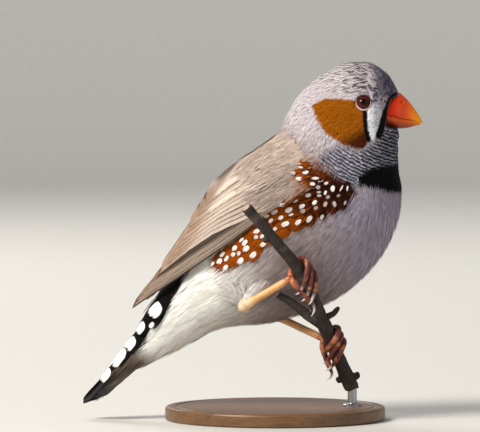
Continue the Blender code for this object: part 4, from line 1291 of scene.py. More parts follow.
# Soft feathers of the thighs
downTemplate = featherTemplate(7, (0, 0.4, 0.7, 0.88))
for index, side in enumerate(("right", "left")):
    surface = thighAt(side)
    own = np.random.default_rng(70 + index)
    count = 260
    places = own.uniform(0.04, 0.95, count)
    angles = own.uniform(0, 2 * math.pi, count)
    length = np.interp(places, (0, 1), (1.8, 4.6))
    nodes = flowNodes(surface, places, angles, length, own.normal(0, 0.12, count))
    nodes = (np.maximum(nodes[0], -0.12), nodes[1])

    def unwrap(place, angle, index=index):
        return (angle / (2 * math.pi)) % 1.0 * 0.4 + 0.05 + 0.5 * index, np.clip(place, 0, 1) * 0.06 + 0.92

    heights = (np.full(count, -0.2), own.uniform(0.0, 0.4, count))
    look = {"fray": 0.4, "lift": 0.15, "drift": 0.15, "jitter": 0.05}
    laid = layFeathers(surface, nodes, np.full(count, 1.3), heights, downTemplate, look, unwrap)

    def thighColour(point, laid, jitter):
        # the belly's grey is painted shade
        return mixed(shades["vent"], shades["belly"], ramp(point[..., 0], -12, 2)), 0.0, 0.0, 0.7

    finishCoat("coatThigh" + side.title(), laid, thighColour, dropEye=False)


# Loose belly feathers that hang over the upper side of the right ankle
own = np.random.default_rng(81)
count = 70
ends = np.stack([own.uniform(-9.6, -6.2, count), own.uniform(27.6, 30.6, count)], -1)
ends[:, 1] -= 0.55 * (ends[:, 0] + 8.0)
starts = ends + np.stack([own.normal(-3.4, 1.1, count), own.normal(2.4, 1.0, count)], -1)
nodes = straightNodes(placeInView(*starts.T), placeInView(*ends.T))
hockX, _, hockZ = thighs["right"]["hock"]
fromHock = np.hypot(ends[:, 0] - hockX, ends[:, 1] - hockZ)
reachOut = np.interp(fromHock, (0, 3.4), (2.6, 0.6)) + own.uniform(-0.3, 0.3, count)
look = {"fray": 0.4, "lift": 0.2, "drift": 0.2, "jitter": 0.05, "rise": 1.3}
width, heights = own.uniform(0.7, 1.2, count), (np.full(count, -0.7), reachOut)
laid = layFeathers(bodyAt, nodes, width, heights, downTemplate, look, bodyUnwrap)


def ankleColour(point, laid, jitter):
    # the belly's grey is painted shade
    return mixed(shades["vent"], shades["belly"], np.full(point.shape[:2], 0.4)), 0.0, 0.0, 0.9


finishCoat("coatAnkle", laid, ankleColour, dropEye=False)


# Flank plumes: chestnut feathers with a white oval each, lying over the wing's lower edge. Each row is one
# spot: its middle in steps of the view, half length and half width in mm, lean in degrees, whiteness
flankLook = {
    "step": 0.236, "origin": (275, 420), "length": (5.0, 2.7), "margin": 0.45, "beyond": 0.3, "spotSize": 0.87
}
flankSpots = (
    (212.7, 262.1, 0.76, 0.42, 60, 1), (219.6, 259.6, 1.01, 0.67, 60, 1), (225.7, 265.4, 1.0, 0.59, 50, 1),
    (222.5, 252.5, 1.0, 0.5, 45, 1), (226.4, 256.8, 1.0, 0.47, 60, 1), (233.0, 252.7, 0.76, 0.54, 50, 1),
    (234.6, 246.1, 0.93, 0.64, 50, 1), (238.6, 251.8, 0.7, 0.47, 55, 1), (240.0, 258.6, 1.18, 0.7, 52, 1),
    (244.6, 240.7, 1.05, 0.59, 50, 1), (246.3, 246.4, 1.05, 0.7, 48, 1), (241.3, 238.2, 0.84, 0.34, 40, 1),
    (252.5, 252.9, 1.1, 0.7, 48, 1), (256.1, 229.3, 1.0, 0.59, 35, 1), (255.9, 235.4, 0.64, 0.54, 40, 0.9),
    (261.6, 234.3, 0.84, 0.47, 45, 1), (262.9, 241.8, 1.18, 0.54, 38, 1), (266.4, 214.6, 0.84, 0.42, 20, 0.9),
    (270.4, 218.6, 0.84, 0.47, 45, 0.9), (273.6, 210.4, 0.98, 0.54, 25, 1), (281.8, 203.4, 0.84, 0.55, 20, 1),
    (280.0, 215.9, 0.84, 0.54, 35, 1), (288.4, 208.7, 1.15, 0.64, 25, 1), (290.1, 212.9, 0.8, 0.3, 20, 0.85),
    (284.5, 222.0, 1.15, 0.64, 22, 1), (294.1, 198.6, 0.88, 0.59, 10, 1), (274.6, 226.3, 0.59, 0.5, 30, 0.9),
    (307.1, 193.2, 0.76, 0.54, 20, 1), (301.1, 204.3, 0.93, 0.54, 30, 1), (313.6, 200.0, 0.76, 0.5, 45, 1),
    (297.1, 220.4, 1.0, 0.54, 40, 0.95), (302.1, 208.8, 0.76, 0.59, 30, 0.4), (308.6, 216.4, 1.04, 0.56, 50, 0.7),
    (314.6, 205.7, 0.67, 0.5, 30, 0.4), (317.5, 185.0, 0.59, 0.5, 10, 1), (311.8, 181.8, 0.67, 0.47, 10, 0.9),
    (317.9, 190.0, 0.59, 0.34, 10, 0.75), (318.2, 193.6, 0.67, 0.34, 5, 0.6), (324.3, 190.6, 0.64, 0.37, 65, 0.95),
    (331.1, 186.6, 0.76, 0.54, 80, 1), (326.4, 195.0, 0.59, 0.47, 30, 0.4), (323.9, 201.8, 0.76, 0.47, 60, 0.45),
    (320.4, 215.0, 0.76, 0.47, 60, 0.5), (332.9, 201.8, 0.76, 0.47, 100, 0.5), (343.2, 200.4, 0.59, 0.25, 60, 0.6),
    (336.8, 193.2, 0.5, 0.34, 30, 0.4), (305.0, 170.7, 0.88, 0.5, 15, 1), (298.6, 176.8, 0.98, 0.5, 5, 1),
    (292.5, 171.4, 0.76, 0.5, 5, 0.6), (300.4, 165.9, 0.67, 0.3, -5, 0.85), (298.9, 162.6, 0.59, 0.22, 0, 0.7),
    (314.3, 176.3, 1.0, 0.37, 5, 0.85), (319.6, 178.9, 0.67, 0.37, 20, 0.85), (325.0, 181.4, 0.64, 0.37, 25, 0.8),
    (339.6, 186.1, 0.93, 0.2, 60, 0.8), (345.7, 186.4, 0.67, 0.22, 85, 0.9), (310.0, 166.0, 0.7, 0.14, 20, 0.4),
)
# The plumes between them without a spot: middle and lean
plainPlumes = (
    (229.0, 263.6, 50), (247.5, 258.0, 45), (268.0, 238.5, 40), (276.0, 234.5, 35), (291.0, 227.5, 35),
    (304.0, 222.5, 40), (316.0, 209.5, 45), (329.0, 209.5, 60), (338.5, 206.0, 65), (249.5, 233.6, 45),
    (253.0, 244.5, 45), (232.0, 260.5, 50), (286.0, 201.0, 15), (300.0, 196.5, 20), (309.5, 188.0, 20),
    (306.0, 177.5, 10), (309.0, 171.5, 15), (218.0, 266.0, 55),
)

print("stage: flank plumes")
spotRows = np.array([*flankSpots, *((x, z, 0.3, 0.2, lean, 0.0) for x, z, lean in plainPlumes)])
spotMiddle = (spotRows[:, :2] - flankLook["origin"]) * (flankLook["step"], -flankLook["step"])
halfLong, halfWide = spotRows[:, 2] * flankLook["spotSize"], spotRows[:, 3] * flankLook["spotSize"]
white = spotRows[:, 5]
lean = np.radians(spotRows[:, 4])
lie = -np.stack([np.cos(lean), np.sin(lean)], -1)
ends = spotMiddle + lie * (halfLong + flankLook["beyond"])[:, None]
starts = ends - lie * np.interp(spotMiddle[:, 0], (3.0, 9.0), flankLook["length"])[:, None]
spottedFeather = spottedMaterial("flankFeather", "#fff6ee", "#3a1206")
count = len(ends)
order = np.argsort(ends @ np.array([-0.8, -0.6]) - 40 * (white == 0))
layer = np.empty(count)
layer[order] = np.linspace(0.3, 0.0, count)
layer[white == 0] -= 0.2


def flankColour(point, laid, jitter):
    x = point[..., 0] + jitter[..., 0] * np.interp(point[..., 0], (-4, 4), (0.5, 3.0))
    # darker towards the front: painted shade
    return mixed(shades["chestnut"], shades["chestnutInShade"], ramp(x, 2, 11) * 0.97), white[:, None], 0.0


def inSpot(laid, wide, long, beyond):  # a feather's points, in halves of its spot's width and length
    middle = laid["length"] - beyond - long
    x = laid["vane"][..., 0] / wide[:, None]
    y = (laid["vane"][..., 1] - middle[:, None]) / long[:, None]
    return np.stack([x, y, np.zeros(x.shape)], -1)


def flankSpot(laid):
    return inSpot(laid, halfWide, halfLong, flankLook["beyond"])


def spottedSet(name, starts, ends, width, heights, template, look, colourAt, drapeOver, spots, material):
    startPlaces, endPlaces = placeInView(*starts.T), placeInView(*ends.T)
    for side in (1, -1):
        nodes = straightNodes(mirrored(startPlaces, side), mirrored(endPlaces, side))
        laid = layFeathers(bodyAt, nodes, width, heights, template, look, bodyUnwrap)
        finishCoat(name + sideName[side], laid, colourAt, drapeOver, spots, material, dropEye=False)


spottedSet(
    "flankPlumes",
    starts,
    ends,
    2 * np.where(white > 0, halfWide + flankLook["margin"], 1.3),
    (np.full(count, -0.5), 0.32 + layer),
    featherTemplate(13, (0, 0.25, 0.45, 0.6, 0.72, 0.82, 0.91), 0.45),
    {
        "fray": 0.1,
        "round": 0.28,
        "lift": 0.04,
        "drift": 0.02,
        "crown": 0.08,
        "jitter": 0.03,
        "rise": 0.6,
        "roll": 0.25,
    },
    flankColour,
    drapeOnWing,
    flankSpot,
    spottedFeather,
)

print("stage: tail")
tail = {
    "pairs": 6,
    "middle": ((-27.5, 0.5, 22.8), (-45.0, 0.8, 3.6)),
    "outer": ((-27.0, 0.8, 18.6), (-41.6, 3.4, 5.9)),
    "half": 1.75,
    "roll": (24, 42),
    "thick": 0.18,
    "step": 0.14,  # mm from one pair to the next above it
    "shingle": 0.12,
    "shown": (1.2, 1.2),
}
tailFeather = flightMaterial("tailFeather", "#2e2520", "#0f0c0a", "#181310", 0.6)


def tailVanes():
    made = []
    black, under = hexColour("#0c0908"), hexColour("#74614c")
    for i in reversed(range(tail["pairs"])):
        f = i / (tail["pairs"] - 1)
        for side in (1, -1):
            root = between(tail["middle"][0], tail["outer"][0], f)
            tip = between(tail["middle"][1], tail["outer"][1], f**1.8) + rng.normal(0, 0.08, 3)
            root[1] *= -side
            tip[1] *= -side
            ahead = unit(tip - root)
            up = unit(np.cross(ahead, (0, 1, 0)))
            up = up if up[2] > 0 else -up
            roll = math.radians(tail["roll"][0] + (tail["roll"][1] - tail["roll"][0]) * f)
            outward = np.array([0, -side, 0.0])
            sideways = unit(outward * math.cos(roll) - up * math.sin(roll))
            sideways = unit(sideways - ahead * sideways.dot(ahead))
            normal = unit(np.cross(ahead, sideways))
            normal = normal if normal.dot(up) > 0 else -normal
            layer = tail["step"] * (tail["pairs"] - 1 - i)

            def centre(share):
                return root + (tip - root) * share

            def layered(share, edge, rise, slim):
                point = centre(share) - sideways * edge + normal * (layer + rise * 0.4)
                return point, point - normal * slim

            points, faces, a, v, u = flightVane(
                centre, layered, tail["half"], 28, tail["thick"], tail["shingle"], tail["shown"], 0.9
            )
            pale = ramp(f, 0.2, 0.8) * ramp(-u, -0.95, -0.55)  # the covered lower side is paler, but not its tips
            made.append((points, faces, a, v, u, mixed(black, under, pale) * (1 + rng.normal(0, 0.05))))
    return joined(made)


points, faces, across, vane, along, tint = tailVanes()
# shifted past the pale fringe, into the painted shadow of covered web
fields = {"across": across + 0.75, "along": along, "vane": vane}
piece = makePiece("tailFeathers", points, faces, tailFeather, "tail_feathers", tint, fields)
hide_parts("tail")

# Tail coverts. Upper ones are black, each with a large white patch. Each row: the patch's middle in side view,
# its half width and half length, and the feather's length
spottedCoverts = (
    (-40.9, 9.7, 0.95, 1.9, 9.0),
    (-37.3, 14.0, 1.45, 2.0, 9.0),
    (-34.1, 17.9, 1.5, 1.9, 8.5),
    (-28.9, 22.4, 0.45, 0.8, 6.0),
    (-31.5, 21.5, 1.25, 1.8, 8.0),
    (-27.9, 25.9, 1.55, 2.15, 8.0),
    (-31.6, 26.4, 0.5, 2.0, 7.5),
    (-28.9, 30.2, 0.5, 2.0, 7.5),
)
tailCovert = spottedMaterial("tailCovert", "#fffdf8", "#050505")
covertMiddle = np.array(spottedCoverts)[:, :2]
covertWide, covertLong, covertLength = np.array(spottedCoverts)[:, 2:].T
covertBeyond = 0.5  # mm of black beyond the patch
way = unit([-0.62, -0.785])
ends = covertMiddle + way * (covertLong + covertBeyond)[:, None]


def covertSpot(laid):  # squarer than an oval
    flat = inSpot(laid, covertWide, covertLong, covertBeyond)
    return np.sign(flat) * np.abs(flat) ** 1.4


def covertColour(point, laid, jitter):
    return np.broadcast_to(shades["rump"], point.shape), 1.0, 0.0


count = len(ends)
spottedSet(
    "tailCoverts",
    ends - way * covertLength[:, None],
    ends,
    covertWide * 2 + 1.3,
    (np.full(count, 0.0), np.linspace(0.6, 1.15, count)),
    featherTemplate(13, (0, 0.3, 0.5, 0.68, 0.82, 0.92), 0.35),
    {"fray": 0.08, "round": 0.2, "lift": 0.05, "drift": 0.02, "crown": 0.12, "jitter": 0.03, "roll": 0.2},
    covertColour,
    None,
    covertSpot,
    tailCovert,
)


def longCoverts(name, angleRange, placeRange, count, length, width, colourAt, heights, seed):
    own = np.random.default_rng(seed)
    places = own.uniform(*placeRange, count)
    angles = own.uniform(*angleRange, count)
    nodes = flowNodes(bodyAt, places, angles, length * own.uniform(0.8, 1.15, count), own.normal(0, 0.05, count))
    laid = layFeathers(
        bodyAt,
        nodes,
        width * own.uniform(0.8, 1.1, count),
        (np.full(count, heights[0]), heights[1] + own.uniform(-0.1, 0.15, count)),
        featherTemplate(11, (0, 0.35, 0.6, 0.82)),
        {"fray": 0.22, "lift": 0.06, "drift": 0.06, "jitter": 0.03, "roll": 0.2},
        bodyUnwrap,
    )
    finishCoat(name, laid, colourAt, dropEye=False)


def rumpColour(point, laid, jitter):
    tone = np.broadcast_to(shades["rump"], point.shape)
    outside = ramp(-depthInside(point[..., 0], point[..., 2], marks["rump"]), -0.2, 0.2)
    return mixed(tone, shades["vent"], outside), 0.0, 0.0, 0.4


def underTailColour(point, laid, jitter):  # cream, turning brown-grey under the tail as painted shade
    far = ramp(-(point[..., 0] + 0.6 * point[..., 2]), 18.0, 24.5)
    return mixed(shades["vent"], hexColour("#6d5f52"), far), 0.0, 0.0, 0.4


longCoverts("rumpCoverts", (-1.2, 1.2), (1.4, 5.2), 130, 6.5, 2.0, rumpColour, (-0.4, 0.3), 31)
longCoverts("underTailCoverts", (1.9, 4.38), (0.3, 4.6), 230, 7.0, 2.3, underTailColour, (-0.2, 0.75), 32)

print("stage: eyes")
eye = {"corneaRise": 0.12, "ringRadius": 1.72, "ringRise": 0.05, "ringThick": 0.2}  # mm


def eyeMaterial():
    # A wet cornea over a dark red-brown iris
    material, add, shader = startMaterial(
        "eye",
        {"Roughness": 0.3, "IOR": 1.38, "Specular IOR Level": 0.0, "Coat Weight": 0.45, "Coat Roughness": 0.045},
    )
    radial = add("Attribute", out="Fac", attribute_name="radial")
    turn = add("Attribute", out="Vector", attribute_name="vane")
    rays = add("TexNoise", {"Vector": turn, "Scale": 3.0, "Detail": 3.0})
    pupil = add("MapRange", [radial, 0.6, 1.15])
    rim = add("MapRange", [radial, 1.25, 1.6])
    iris = add("Mix", [rays, rgba("#6e1a0b"), rgba("#2e0804")])
    inner = add("Mix", [pupil, rgba("#0b0201"), iris])
    outer = add("Mix", [rim, inner, rgba("#0d0504")])
    plug(shader, {"Base Color": outer})
    return material


eyeSurface = eyeMaterial()
lidSkin, add, shader = startMaterial("eyelidSkin", {"Roughness": 0.5})  # bare reddish skin in fine beads
place = add("TexCoord", out="Object")
beads = add("TexVoronoi", {"Vector": place, "Scale": 3200.0})
lidTint = add("Attribute", out="Color", attribute_name="tint")
beadShade = add("MapRange", [beads, 0.0, 0.7, 1.0, 0.6])
lidColour = add("Mix", [1.0, lidTint, beadShade], blend_type="MULTIPLY")
bump = add("Bump", {"Height": beads, "Strength": 0.5, "Distance": 0.0001})
plug(shader, {"Base Color": lidColour, "Normal": bump})

for side, node in ((1, "eye_right"), (-1, "eye_left")):
    flip = np.array([1, side, 1])
    out = unit(eyeOut * flip)
    right = unit(np.cross(out, (0, 0, 1)))
    up = np.cross(right, out)
    polar, around = gridOf(np.linspace(0.02, math.pi - 0.02, 40), fullTurn(48))
    bulge = 1 + eye["corneaRise"] / eyeRadius * np.exp(-((polar / 0.45) ** 4))
    way = turnedTo(out, turnedTo(right, up, around), polar)
    points, faces = closedRings(eyeCentre * flip + eyeRadius * bulge[..., None] * way)
    radial = np.concatenate([(np.where(polar < math.pi / 2, np.sin(polar), 1) * eyeRadius).ravel(), [0.0, eyeRadius]])
    rays = np.stack([np.cos(around) * 2, np.sin(around) * 2, polar], -1).reshape(-1, 3)
    fields = {"radial": radial, "vane": np.concatenate([rays, np.zeros((2, 3))])}
    piece = makePiece("eye" + sideName[side], points, faces, eyeSurface, "eyes", None, fields)
    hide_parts(node)
    # the bare lid, a ring of beads on the rim of the ball
    rings, tints, beads, sides = [], [], 72, 10
    rimRadius = eyeRadius + eye["ringRise"]
    polarRim = math.asin(eye["ringRadius"] / rimRadius)
    for turn in fullTurn(beads):
        spoke = turnedTo(right, up, turn)
        centre = eyeCentre * flip + out * math.cos(polarRim) * rimRadius + spoke * eye["ringRadius"]
        below = 0.5 - 0.5 * math.sin(turn)  # thicker and paler under the eye, thin and dark over it
        thick = eye["ringThick"] * (0.65 + 0.55 * below) * (1 + 0.08 * math.sin(turn * 24))
        tints += [mixed(hexColour("#4a3431"), hexColour("#e6c9c2"), ramp(below, 0.25, 0.75))] * sides
        rings.append(centre + thick * turnedTo(spoke * 0.9, out * 0.75, fullTurn(sides)))
    points = np.concatenate(rings)
    faces = outward(points, ringFaces(beads + 1, sides) % len(points))
    makePiece("eyelid" + sideName[side], points, faces, lidSkin, "plumage", np.array(tints))

print("stage: bill")
billLook = {
    "base": "#cf2a03",
    "middle": "#d94a05",
    "tip": "#ffa500",
    # underside and gape-side colours of the lower half; the dark underside is painted shade
    "lower": ("#601800", "#c85400"),
    "nostril": (29.9, 74.9),
    "growthLines": 0.9,  # mm apart
}


def billMaterial():
    # Waxy keratin, smooth with a soft gloss; faint growth lines run across it
    material, add, shader = startMaterial(
        "billHorn",
        {
            "Roughness": 0.24,
            "Specular IOR Level": 0.25,
            "Subsurface Weight": 0.12,
            "Subsurface Radius": (0.0012, 0.0004, 0.0002),
            "Subsurface Scale": 1.0,
            "Coat Weight": 0.15,
            "Coat Roughness": 0.15,
        },
    )
    place = add("TexCoord", out="Object")
    split = add("SeparateXYZ", [place]).node.outputs
    mottle = add("TexNoise", {"Vector": place, "Scale": 420.0, "Detail": 4.0})
    shifted = add("Math", [mottle, 0.0012, split[0]], operation="MULTIPLY_ADD")
    length = add("MapRange", [shifted, 0.028, 0.0348])
    colours = add("ValToRGB", [length])
    colours.node.color_ramp.elements[0].color = rgba(billLook["base"])
    colours.node.color_ramp.elements[1].color = rgba(billLook["tip"])
    colours.node.color_ramp.elements.new(0.5).color = rgba(billLook["middle"])
    # browner below the line of the gape, which falls a quarter of its length, and darkening towards the underside:
    # painted shade of the lower half
    belowGape = add("Math", [split[0], 0.25, split[2]], operation="MULTIPLY_ADD")
    low = add("MapRange", [belowGape, 0.0778, 0.0788, 0.9, 0.0])
    depth = add("MapRange", [belowGape, 0.0762, 0.078])
    under, edge = (rgba(code) for code in billLook["lower"])
    lower = add("Mix", [depth, under, edge])
    toned = add("Mix", [low, colours, lower])
    density = 1 / (billLook["growthLines"] * mm) / 6.283 * 2
    lines = add(
        "TexWave", {"Vector": place, "Scale": density, "Distortion": 2.5, "Detail": 2.0}, bands_direction="X"
    )
    fine = add("MapRange", [lines, 0.0, 1.0, 0.98, 1.02])
    final = add("Mix", [1.0, toned, fine], blend_type="MULTIPLY")
    bump = add("Bump", {"Height": mottle, "Strength": 0.25, "Distance": 0.00015})
    plug(shader, {"Base Color": final, "Normal": bump})
    return material


billHorn = billMaterial()


def billHalf(table, upper, rings, count):
    rows = curveRow(table, np.linspace(0, len(table) - 1, rings))
    made = []
    for tx, tz, bx, bz, wide in rows:
        top, bottom = np.array([tx, 0, tz]), np.array([bx, 0, bz])
        a = np.linspace(0, math.pi, count)
        arch = np.sin(a) ** (0.85 if upper else 0.8)
        start, end = (bottom, top) if upper else (top, bottom)
        shell = start + (end - start) * arch[:, None]
        shell[:, 1] += -wide * np.cos(a)
        if upper:  # culmen ridge, and a nostril pit on each side of its base
            shell[:, 2] += 0.12 * np.exp(-(((a - math.pi / 2) / 0.16) ** 2)) * min(wide, 1.0)
            pit = np.hypot(shell[:, 0] - billLook["nostril"][0], (shell[:, 2] - billLook["nostril"][1]) * 1.2)
            shell[:, 1] -= np.sign(shell[:, 1]) * 0.55 * np.exp(-((pit / 0.36) ** 2))
            rim = np.exp(-(((a - 0.12) / 0.1) ** 2)) * 0.1 + np.exp(-(((a - math.pi + 0.12) / 0.1) ** 2)) * 0.1
            shell[:, 2] -= rim
        inner = np.linspace(shell[-1], shell[0], 9)[1:-1]
        made.append(np.concatenate([shell, inner]))
    return closedRings(made)


piece = makePiece("billUpper", *billHalf(upperBill, True, 46, 41), billHorn, "bill")
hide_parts("bill_upper")
piece = makePiece("billLower", *billHalf(lowerBill, False, 40, 35), billHorn, "bill")
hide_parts("bill_lower")
gapeShade, add, shader = startMaterial("gapeShade", {"Roughness": 0.5})  # painted shade: a dark sheet in the line between the halves
place = add("TexCoord", out="Object")
damp = add("TexNoise", {"Vector": place, "Scale": 1200.0})
gapeShadeColour = add("Mix", [damp, rgba("#1c0403"), rgba("#5a150a")])
plug(shader, {"Base Color": gapeShadeColour})
rings = []
for share in np.linspace(0, 1, 24):
    x, z = 26.6 + 6.9 * share, 72.0 - 1.75 * share
    wide = float(np.interp(x, (26.6, 29, 30, 31.8, 33.2, 34), (3.3, 3.05, 2.6, 1.75, 1.05, 0.4)))
    turns = fullTurn(16)
    rings.append(np.stack([np.full(16, x), wide * np.cos(turns), z + 0.3 * (1 - 0.5 * share) * np.sin(turns)], -1))
makePiece("billGape", *closedRings(rings), gapeShade, "bill")

print("stage: perch")
perch = {
    "line": (
        (-6.8, -22.5, 51.0, 1.25),
        (-0.5, -19.6, 43.7, 1.3),
        (5.9, -15.8, 35.4, 1.4),
        (10.1, -11.2, 26.0, 1.55),
        (13.7, -6.8, 17.7, 1.6),
        (16.0, -3.4, 12.3, 1.65),
        (18.2, -1.0, 7.5, 1.75),
    ),
    "shoot": ((11.4, -9.9, 22.6, 1.2), (8.0, -11.8, 25.0, 1.15), (4.2, -12.6, 28.0, 1.0), (0.6, -12.9, 30.3, 0.8)),
    "ringGap": 0.35,
    # place, turn in degrees, length, radius
    "buds": ((0.9, 200, 1.0, 0.75), (3.2, 20, 3.4, 0.7), (5.5, 10, 1.3, 0.85), (5.35, 190, 1.0, 0.8)),
}


def perchFrame(place):
    row = curveRow(perch["line"], place)
    up = unit(curveRow(perch["line"], place - 0.1)[:3] - curveRow(perch["line"], place + 0.1)[:3])
    return row[:3], row[3], up


def resample(path, step):  # evenly spaced points on a smooth curve through a path
    fine = curveRow(path, np.linspace(0, len(path) - 1, 40 * len(path)))
    lengths = np.concatenate([[0], np.cumsum(np.linalg.norm(np.diff(fine[:, :3], axis=0), axis=1))])
    count = max(int(lengths[-1] / step), 3)
    at = np.linspace(0, lengths[-1], count)
    return np.stack([np.interp(at, lengths, fine[:, k]) for k in range(fine.shape[1])], -1), at


def sweepTube(rows, sides, shapeAt=None):  # a tube through rows of x, y, z, radius; shapeAt scales it by row and turn
    path = rows[:, :3]
    ahead = unit(np.gradient(path, axis=0))
    side = np.cross(ahead[0], (0.0, 0.0, 1.0) if abs(ahead[0][2]) < 0.9 else (1.0, 0.0, 0.0))
    rings, turns = [], fullTurn(sides)
    for i, point in enumerate(path):
        side = unit(side - ahead[i] * side.dot(ahead[i]))
        other = np.cross(ahead[i], side)
        way = turnedTo(side, other, turns)
        radius = rows[i, 3] * (shapeAt(i, point, way) if shapeAt else np.ones(sides))
        rings.append(point + way * radius[:, None])
    return rings


def barkShape(i, point, way):
    values = []
    for direction in way:
        at = Vector(point * 0.35 + direction * 1.1)
        ridge = Vector((direction[0] * 3, direction[1] * 3, point[2] * 0.12))
        values.append(1 + 0.13 * noise.noise(at * 1.3) + 0.05 * noise.noise(at * 5.0) + 0.07 * noise.noise(ridge))
    return np.array(values)


def barkMaterial():
    # Thin dark bark of a young twig: matt, with lengthwise cracks, pale lichen-grey weathering and lenticels
    material, add, shader = startMaterial("twigBark", {"Roughness": 0.82, "Specular IOR Level": 0.35})
    place = add("TexCoord", out="Object")
    stretched = add("Mapping", {"Vector": place, "Scale": (1.0, 1.0, 0.22)})
    grain = add("TexNoise", {"Vector": stretched, "Scale": 2400.0, "Detail": 5.0, "Roughness": 0.65})
    blotches = add("TexNoise", {"Vector": place, "Scale": 260.0, "Detail": 4.0})
    specks = add("TexVoronoi", {"Vector": place, "Scale": 620.0})
    dark = add("Mix", [grain, rgba("#120e0c"), rgba("#4a3f39")])
    weather = add("MapRange", [blotches, 0.52, 0.72, 0.0, 0.55])
    grey = add("Mix", [weather, dark, rgba("#6c625c")])
    dot = add("MapRange", [specks, 0.08, 0.15, 0.4, 0.0])
    final = add("Mix", [dot, grey, rgba("#5f554c")])
    bump = add("Bump", {"Height": grain, "Strength": 1.0, "Distance": 0.00035})
    plug(shader, {"Base Color": final, "Normal": bump})
    return material


def cutWoodMaterial():
    # Pale sapwood where the twig is cut, with fine rings and a darker pith
    material, add, shader = startMaterial("cutWood", {"Roughness": 0.7})
    place = add("TexCoord", out="Object")
    rings = add("TexWave", {"Vector": place, "Scale": 700.0, "Distortion": 3.0, "Detail": 2.0}, wave_type="RINGS")
    colour = add("Mix", [rings, rgba("#b9a283"), rgba("#8f7658")])
    plug(shader, {"Base Color": colour})
    return material


twigBark, cutWood = barkMaterial(), cutWoodMaterial()
rows, _ = resample(perch["line"], perch["ringGap"])
rings = sweepTube(rows, 28, barkShape)
rings[-1][:, 2] = perch["line"][-1][2]
parts = [closedRings(rings)]
shootRows, _ = resample(perch["shoot"], perch["ringGap"])
parts.append(closedRings(sweepTube(shootRows, 20, barkShape)))
for place, turn, length, radius in perch["buds"]:
    centre, thick, up = perchFrame(place)
    side = unit(np.array([1.0, 0, 0]) - up * up[0])
    out = turnedTo(side, np.cross(up, side), math.radians(turn))
    start, end = centre + out * thick * 0.3, centre + out * (thick + length) + up * 0.2 * length
    budPath = (
        start, centre + out * (thick + 0.05), centre + out * (thick + length * 0.45), start * 0.12 + end * 0.88, end
    )
    budRows, _ = resample([(*at, radius * size) for at, size in zip(budPath, (1.15, 1.1, 0.98, 0.8, 0.42))], 0.2)
    parts.append(closedRings(sweepTube(budRows, 16, barkShape)))
piece = makePiece("perchBark", *joined(parts), twigBark, "bark")
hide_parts("perch")
caps = []
for centre, ahead, radius in (
    (rings[0].mean(0), unit(rows[0, :3] - rows[1, :3]), 1.02),
    (shootRows[-1, :3], unit(shootRows[-1, :3] - shootRows[-2, :3]), 0.66),
):
    side = unit(np.cross(ahead, (0, 1, 0)))
    way = turnedTo(side, np.cross(ahead, side), fullTurn(24))
    domed = ((0.9, -0.3), (1.0, 0.0), (0.93, 0.07), (0.6, 0.1), (0.2, 0.06))
    caps.append(closedRings([centre + ahead * height + radius * share * way for share, height in domed]))
makePiece("perchCuts", *joined(caps), cutWood, "bark")

print("stage: legs")
leg = {
    "gap": 0.3,
    "grip": 0.48,
    "hock": 1.5,
    "shank": 0.95,
    "toe": 0.68,
    "knuckle": 0.95,
    "scute": 0.95,  # mm between the scales of the shank, then of the toes
    "toeScute": 0.62,
    "toeWidths": (1.05, 1.1, 0.96, 1.02, 0.88, 0.74),  # in shares of the toe's radius
    "pad": 0.52,
    "claw": (0.44, 0.46, 0.36, 0.24, 0.05),  # radii from the root to the point
    "right": 2.0,  # place of the foot along the perch's line
    "left": 3.82,
    "toes": (
        (
            ((0, 0.4, 0), (60, 1.6, 0), (120, 2.4, 0), (180, 1.9, 0.1), (235, 0.2, 0), (275, -1.6, 0)),
            ((300, -2.6, 0.2), (320, -3.3, 0.9), (330, -3.4, 1.6)),
        ),
        (
            ((0, 0.0, 0), (60, 0.2, 0), (120, 0.7, 0), (180, 0.4, 0.1), (230, -1.6, 0), (265, -3.4, 0)),
            ((290, -4.6, 0.2), (308, -5.2, 0.9), (318, -5.3, 1.6)),
        ),
        (
            ((0, -0.4, 0), (60, -1.2, 0), (120, -1.2, 0), (175, -1.6, 0.1), (215, -3.2, 0), (245, -4.6, 0)),
            ((268, -5.6, 0.2), (285, -6.3, 0.9), (295, -6.5, 1.6)),
        ),
        (
            ((0, 0.0, 0), (-28, -1.4, 0.1), (-48, -3.2, 0), (-62, -5.2, 0), (-70, -6.6, 0.1)),
            ((-72, -7.8, 0.5), (-66, -8.8, 1.2), (-56, -9.4, 2.2)),
        ),
    ),
}


def legMaterial():
    # Bare leg: thin horn plates over skin, orange-buff, a little waxy, darker in the joints between plates
    material, add, shader = startMaterial(
        "legSkin",
        {
            "Roughness": 0.46,
            "Subsurface Weight": 0.15,
            "Subsurface Radius": (0.0012, 0.0005, 0.0003),
            "Subsurface Scale": 1.0,
        },
    )
    tone = add("Attribute", out="Fac", attribute_name="joint")
    place = add("TexCoord", out="Object")
    mottle = add("TexNoise", {"Vector": place, "Scale": 900.0, "Detail": 3.0})
    tint = add("Attribute", out="Color", attribute_name="tint")
    blotch = add("MapRange", [mottle, 0.3, 0.7, 1.12, 0.82])
    base = add("Mix", [1.0, tint, blotch], blend_type="MULTIPLY")
    dark = add("MapRange", [tone, 0.0, 1.0, 0.0, 0.45])
    final = add("Mix", [dark, base, rgba("#6a2a1a")])
    bump = add("Bump", {"Height": mottle, "Strength": 0.35, "Distance": 0.0001})
    plug(shader, {"Base Color": final, "Normal": bump})
    return material


legSkin = legMaterial()
# Claws of horn, dark brown at the root and paler at the point
claw, add, shader = startMaterial("claw", {"Roughness": 0.35})
place = add("TexCoord", out="Object")
streaks = add("TexNoise", {"Vector": place, "Scale": 1500.0, "Detail": 3.0})
clawTint = add("Attribute", out="Color", attribute_name="tint")
clawShade = add("MapRange", [streaks, 0.3, 0.7, 0.75, 1.1])
clawColour = add("Mix", [1.0, clawTint, clawShade], blend_type="MULTIPLY")
plug(shader, {"Base Color": clawColour})


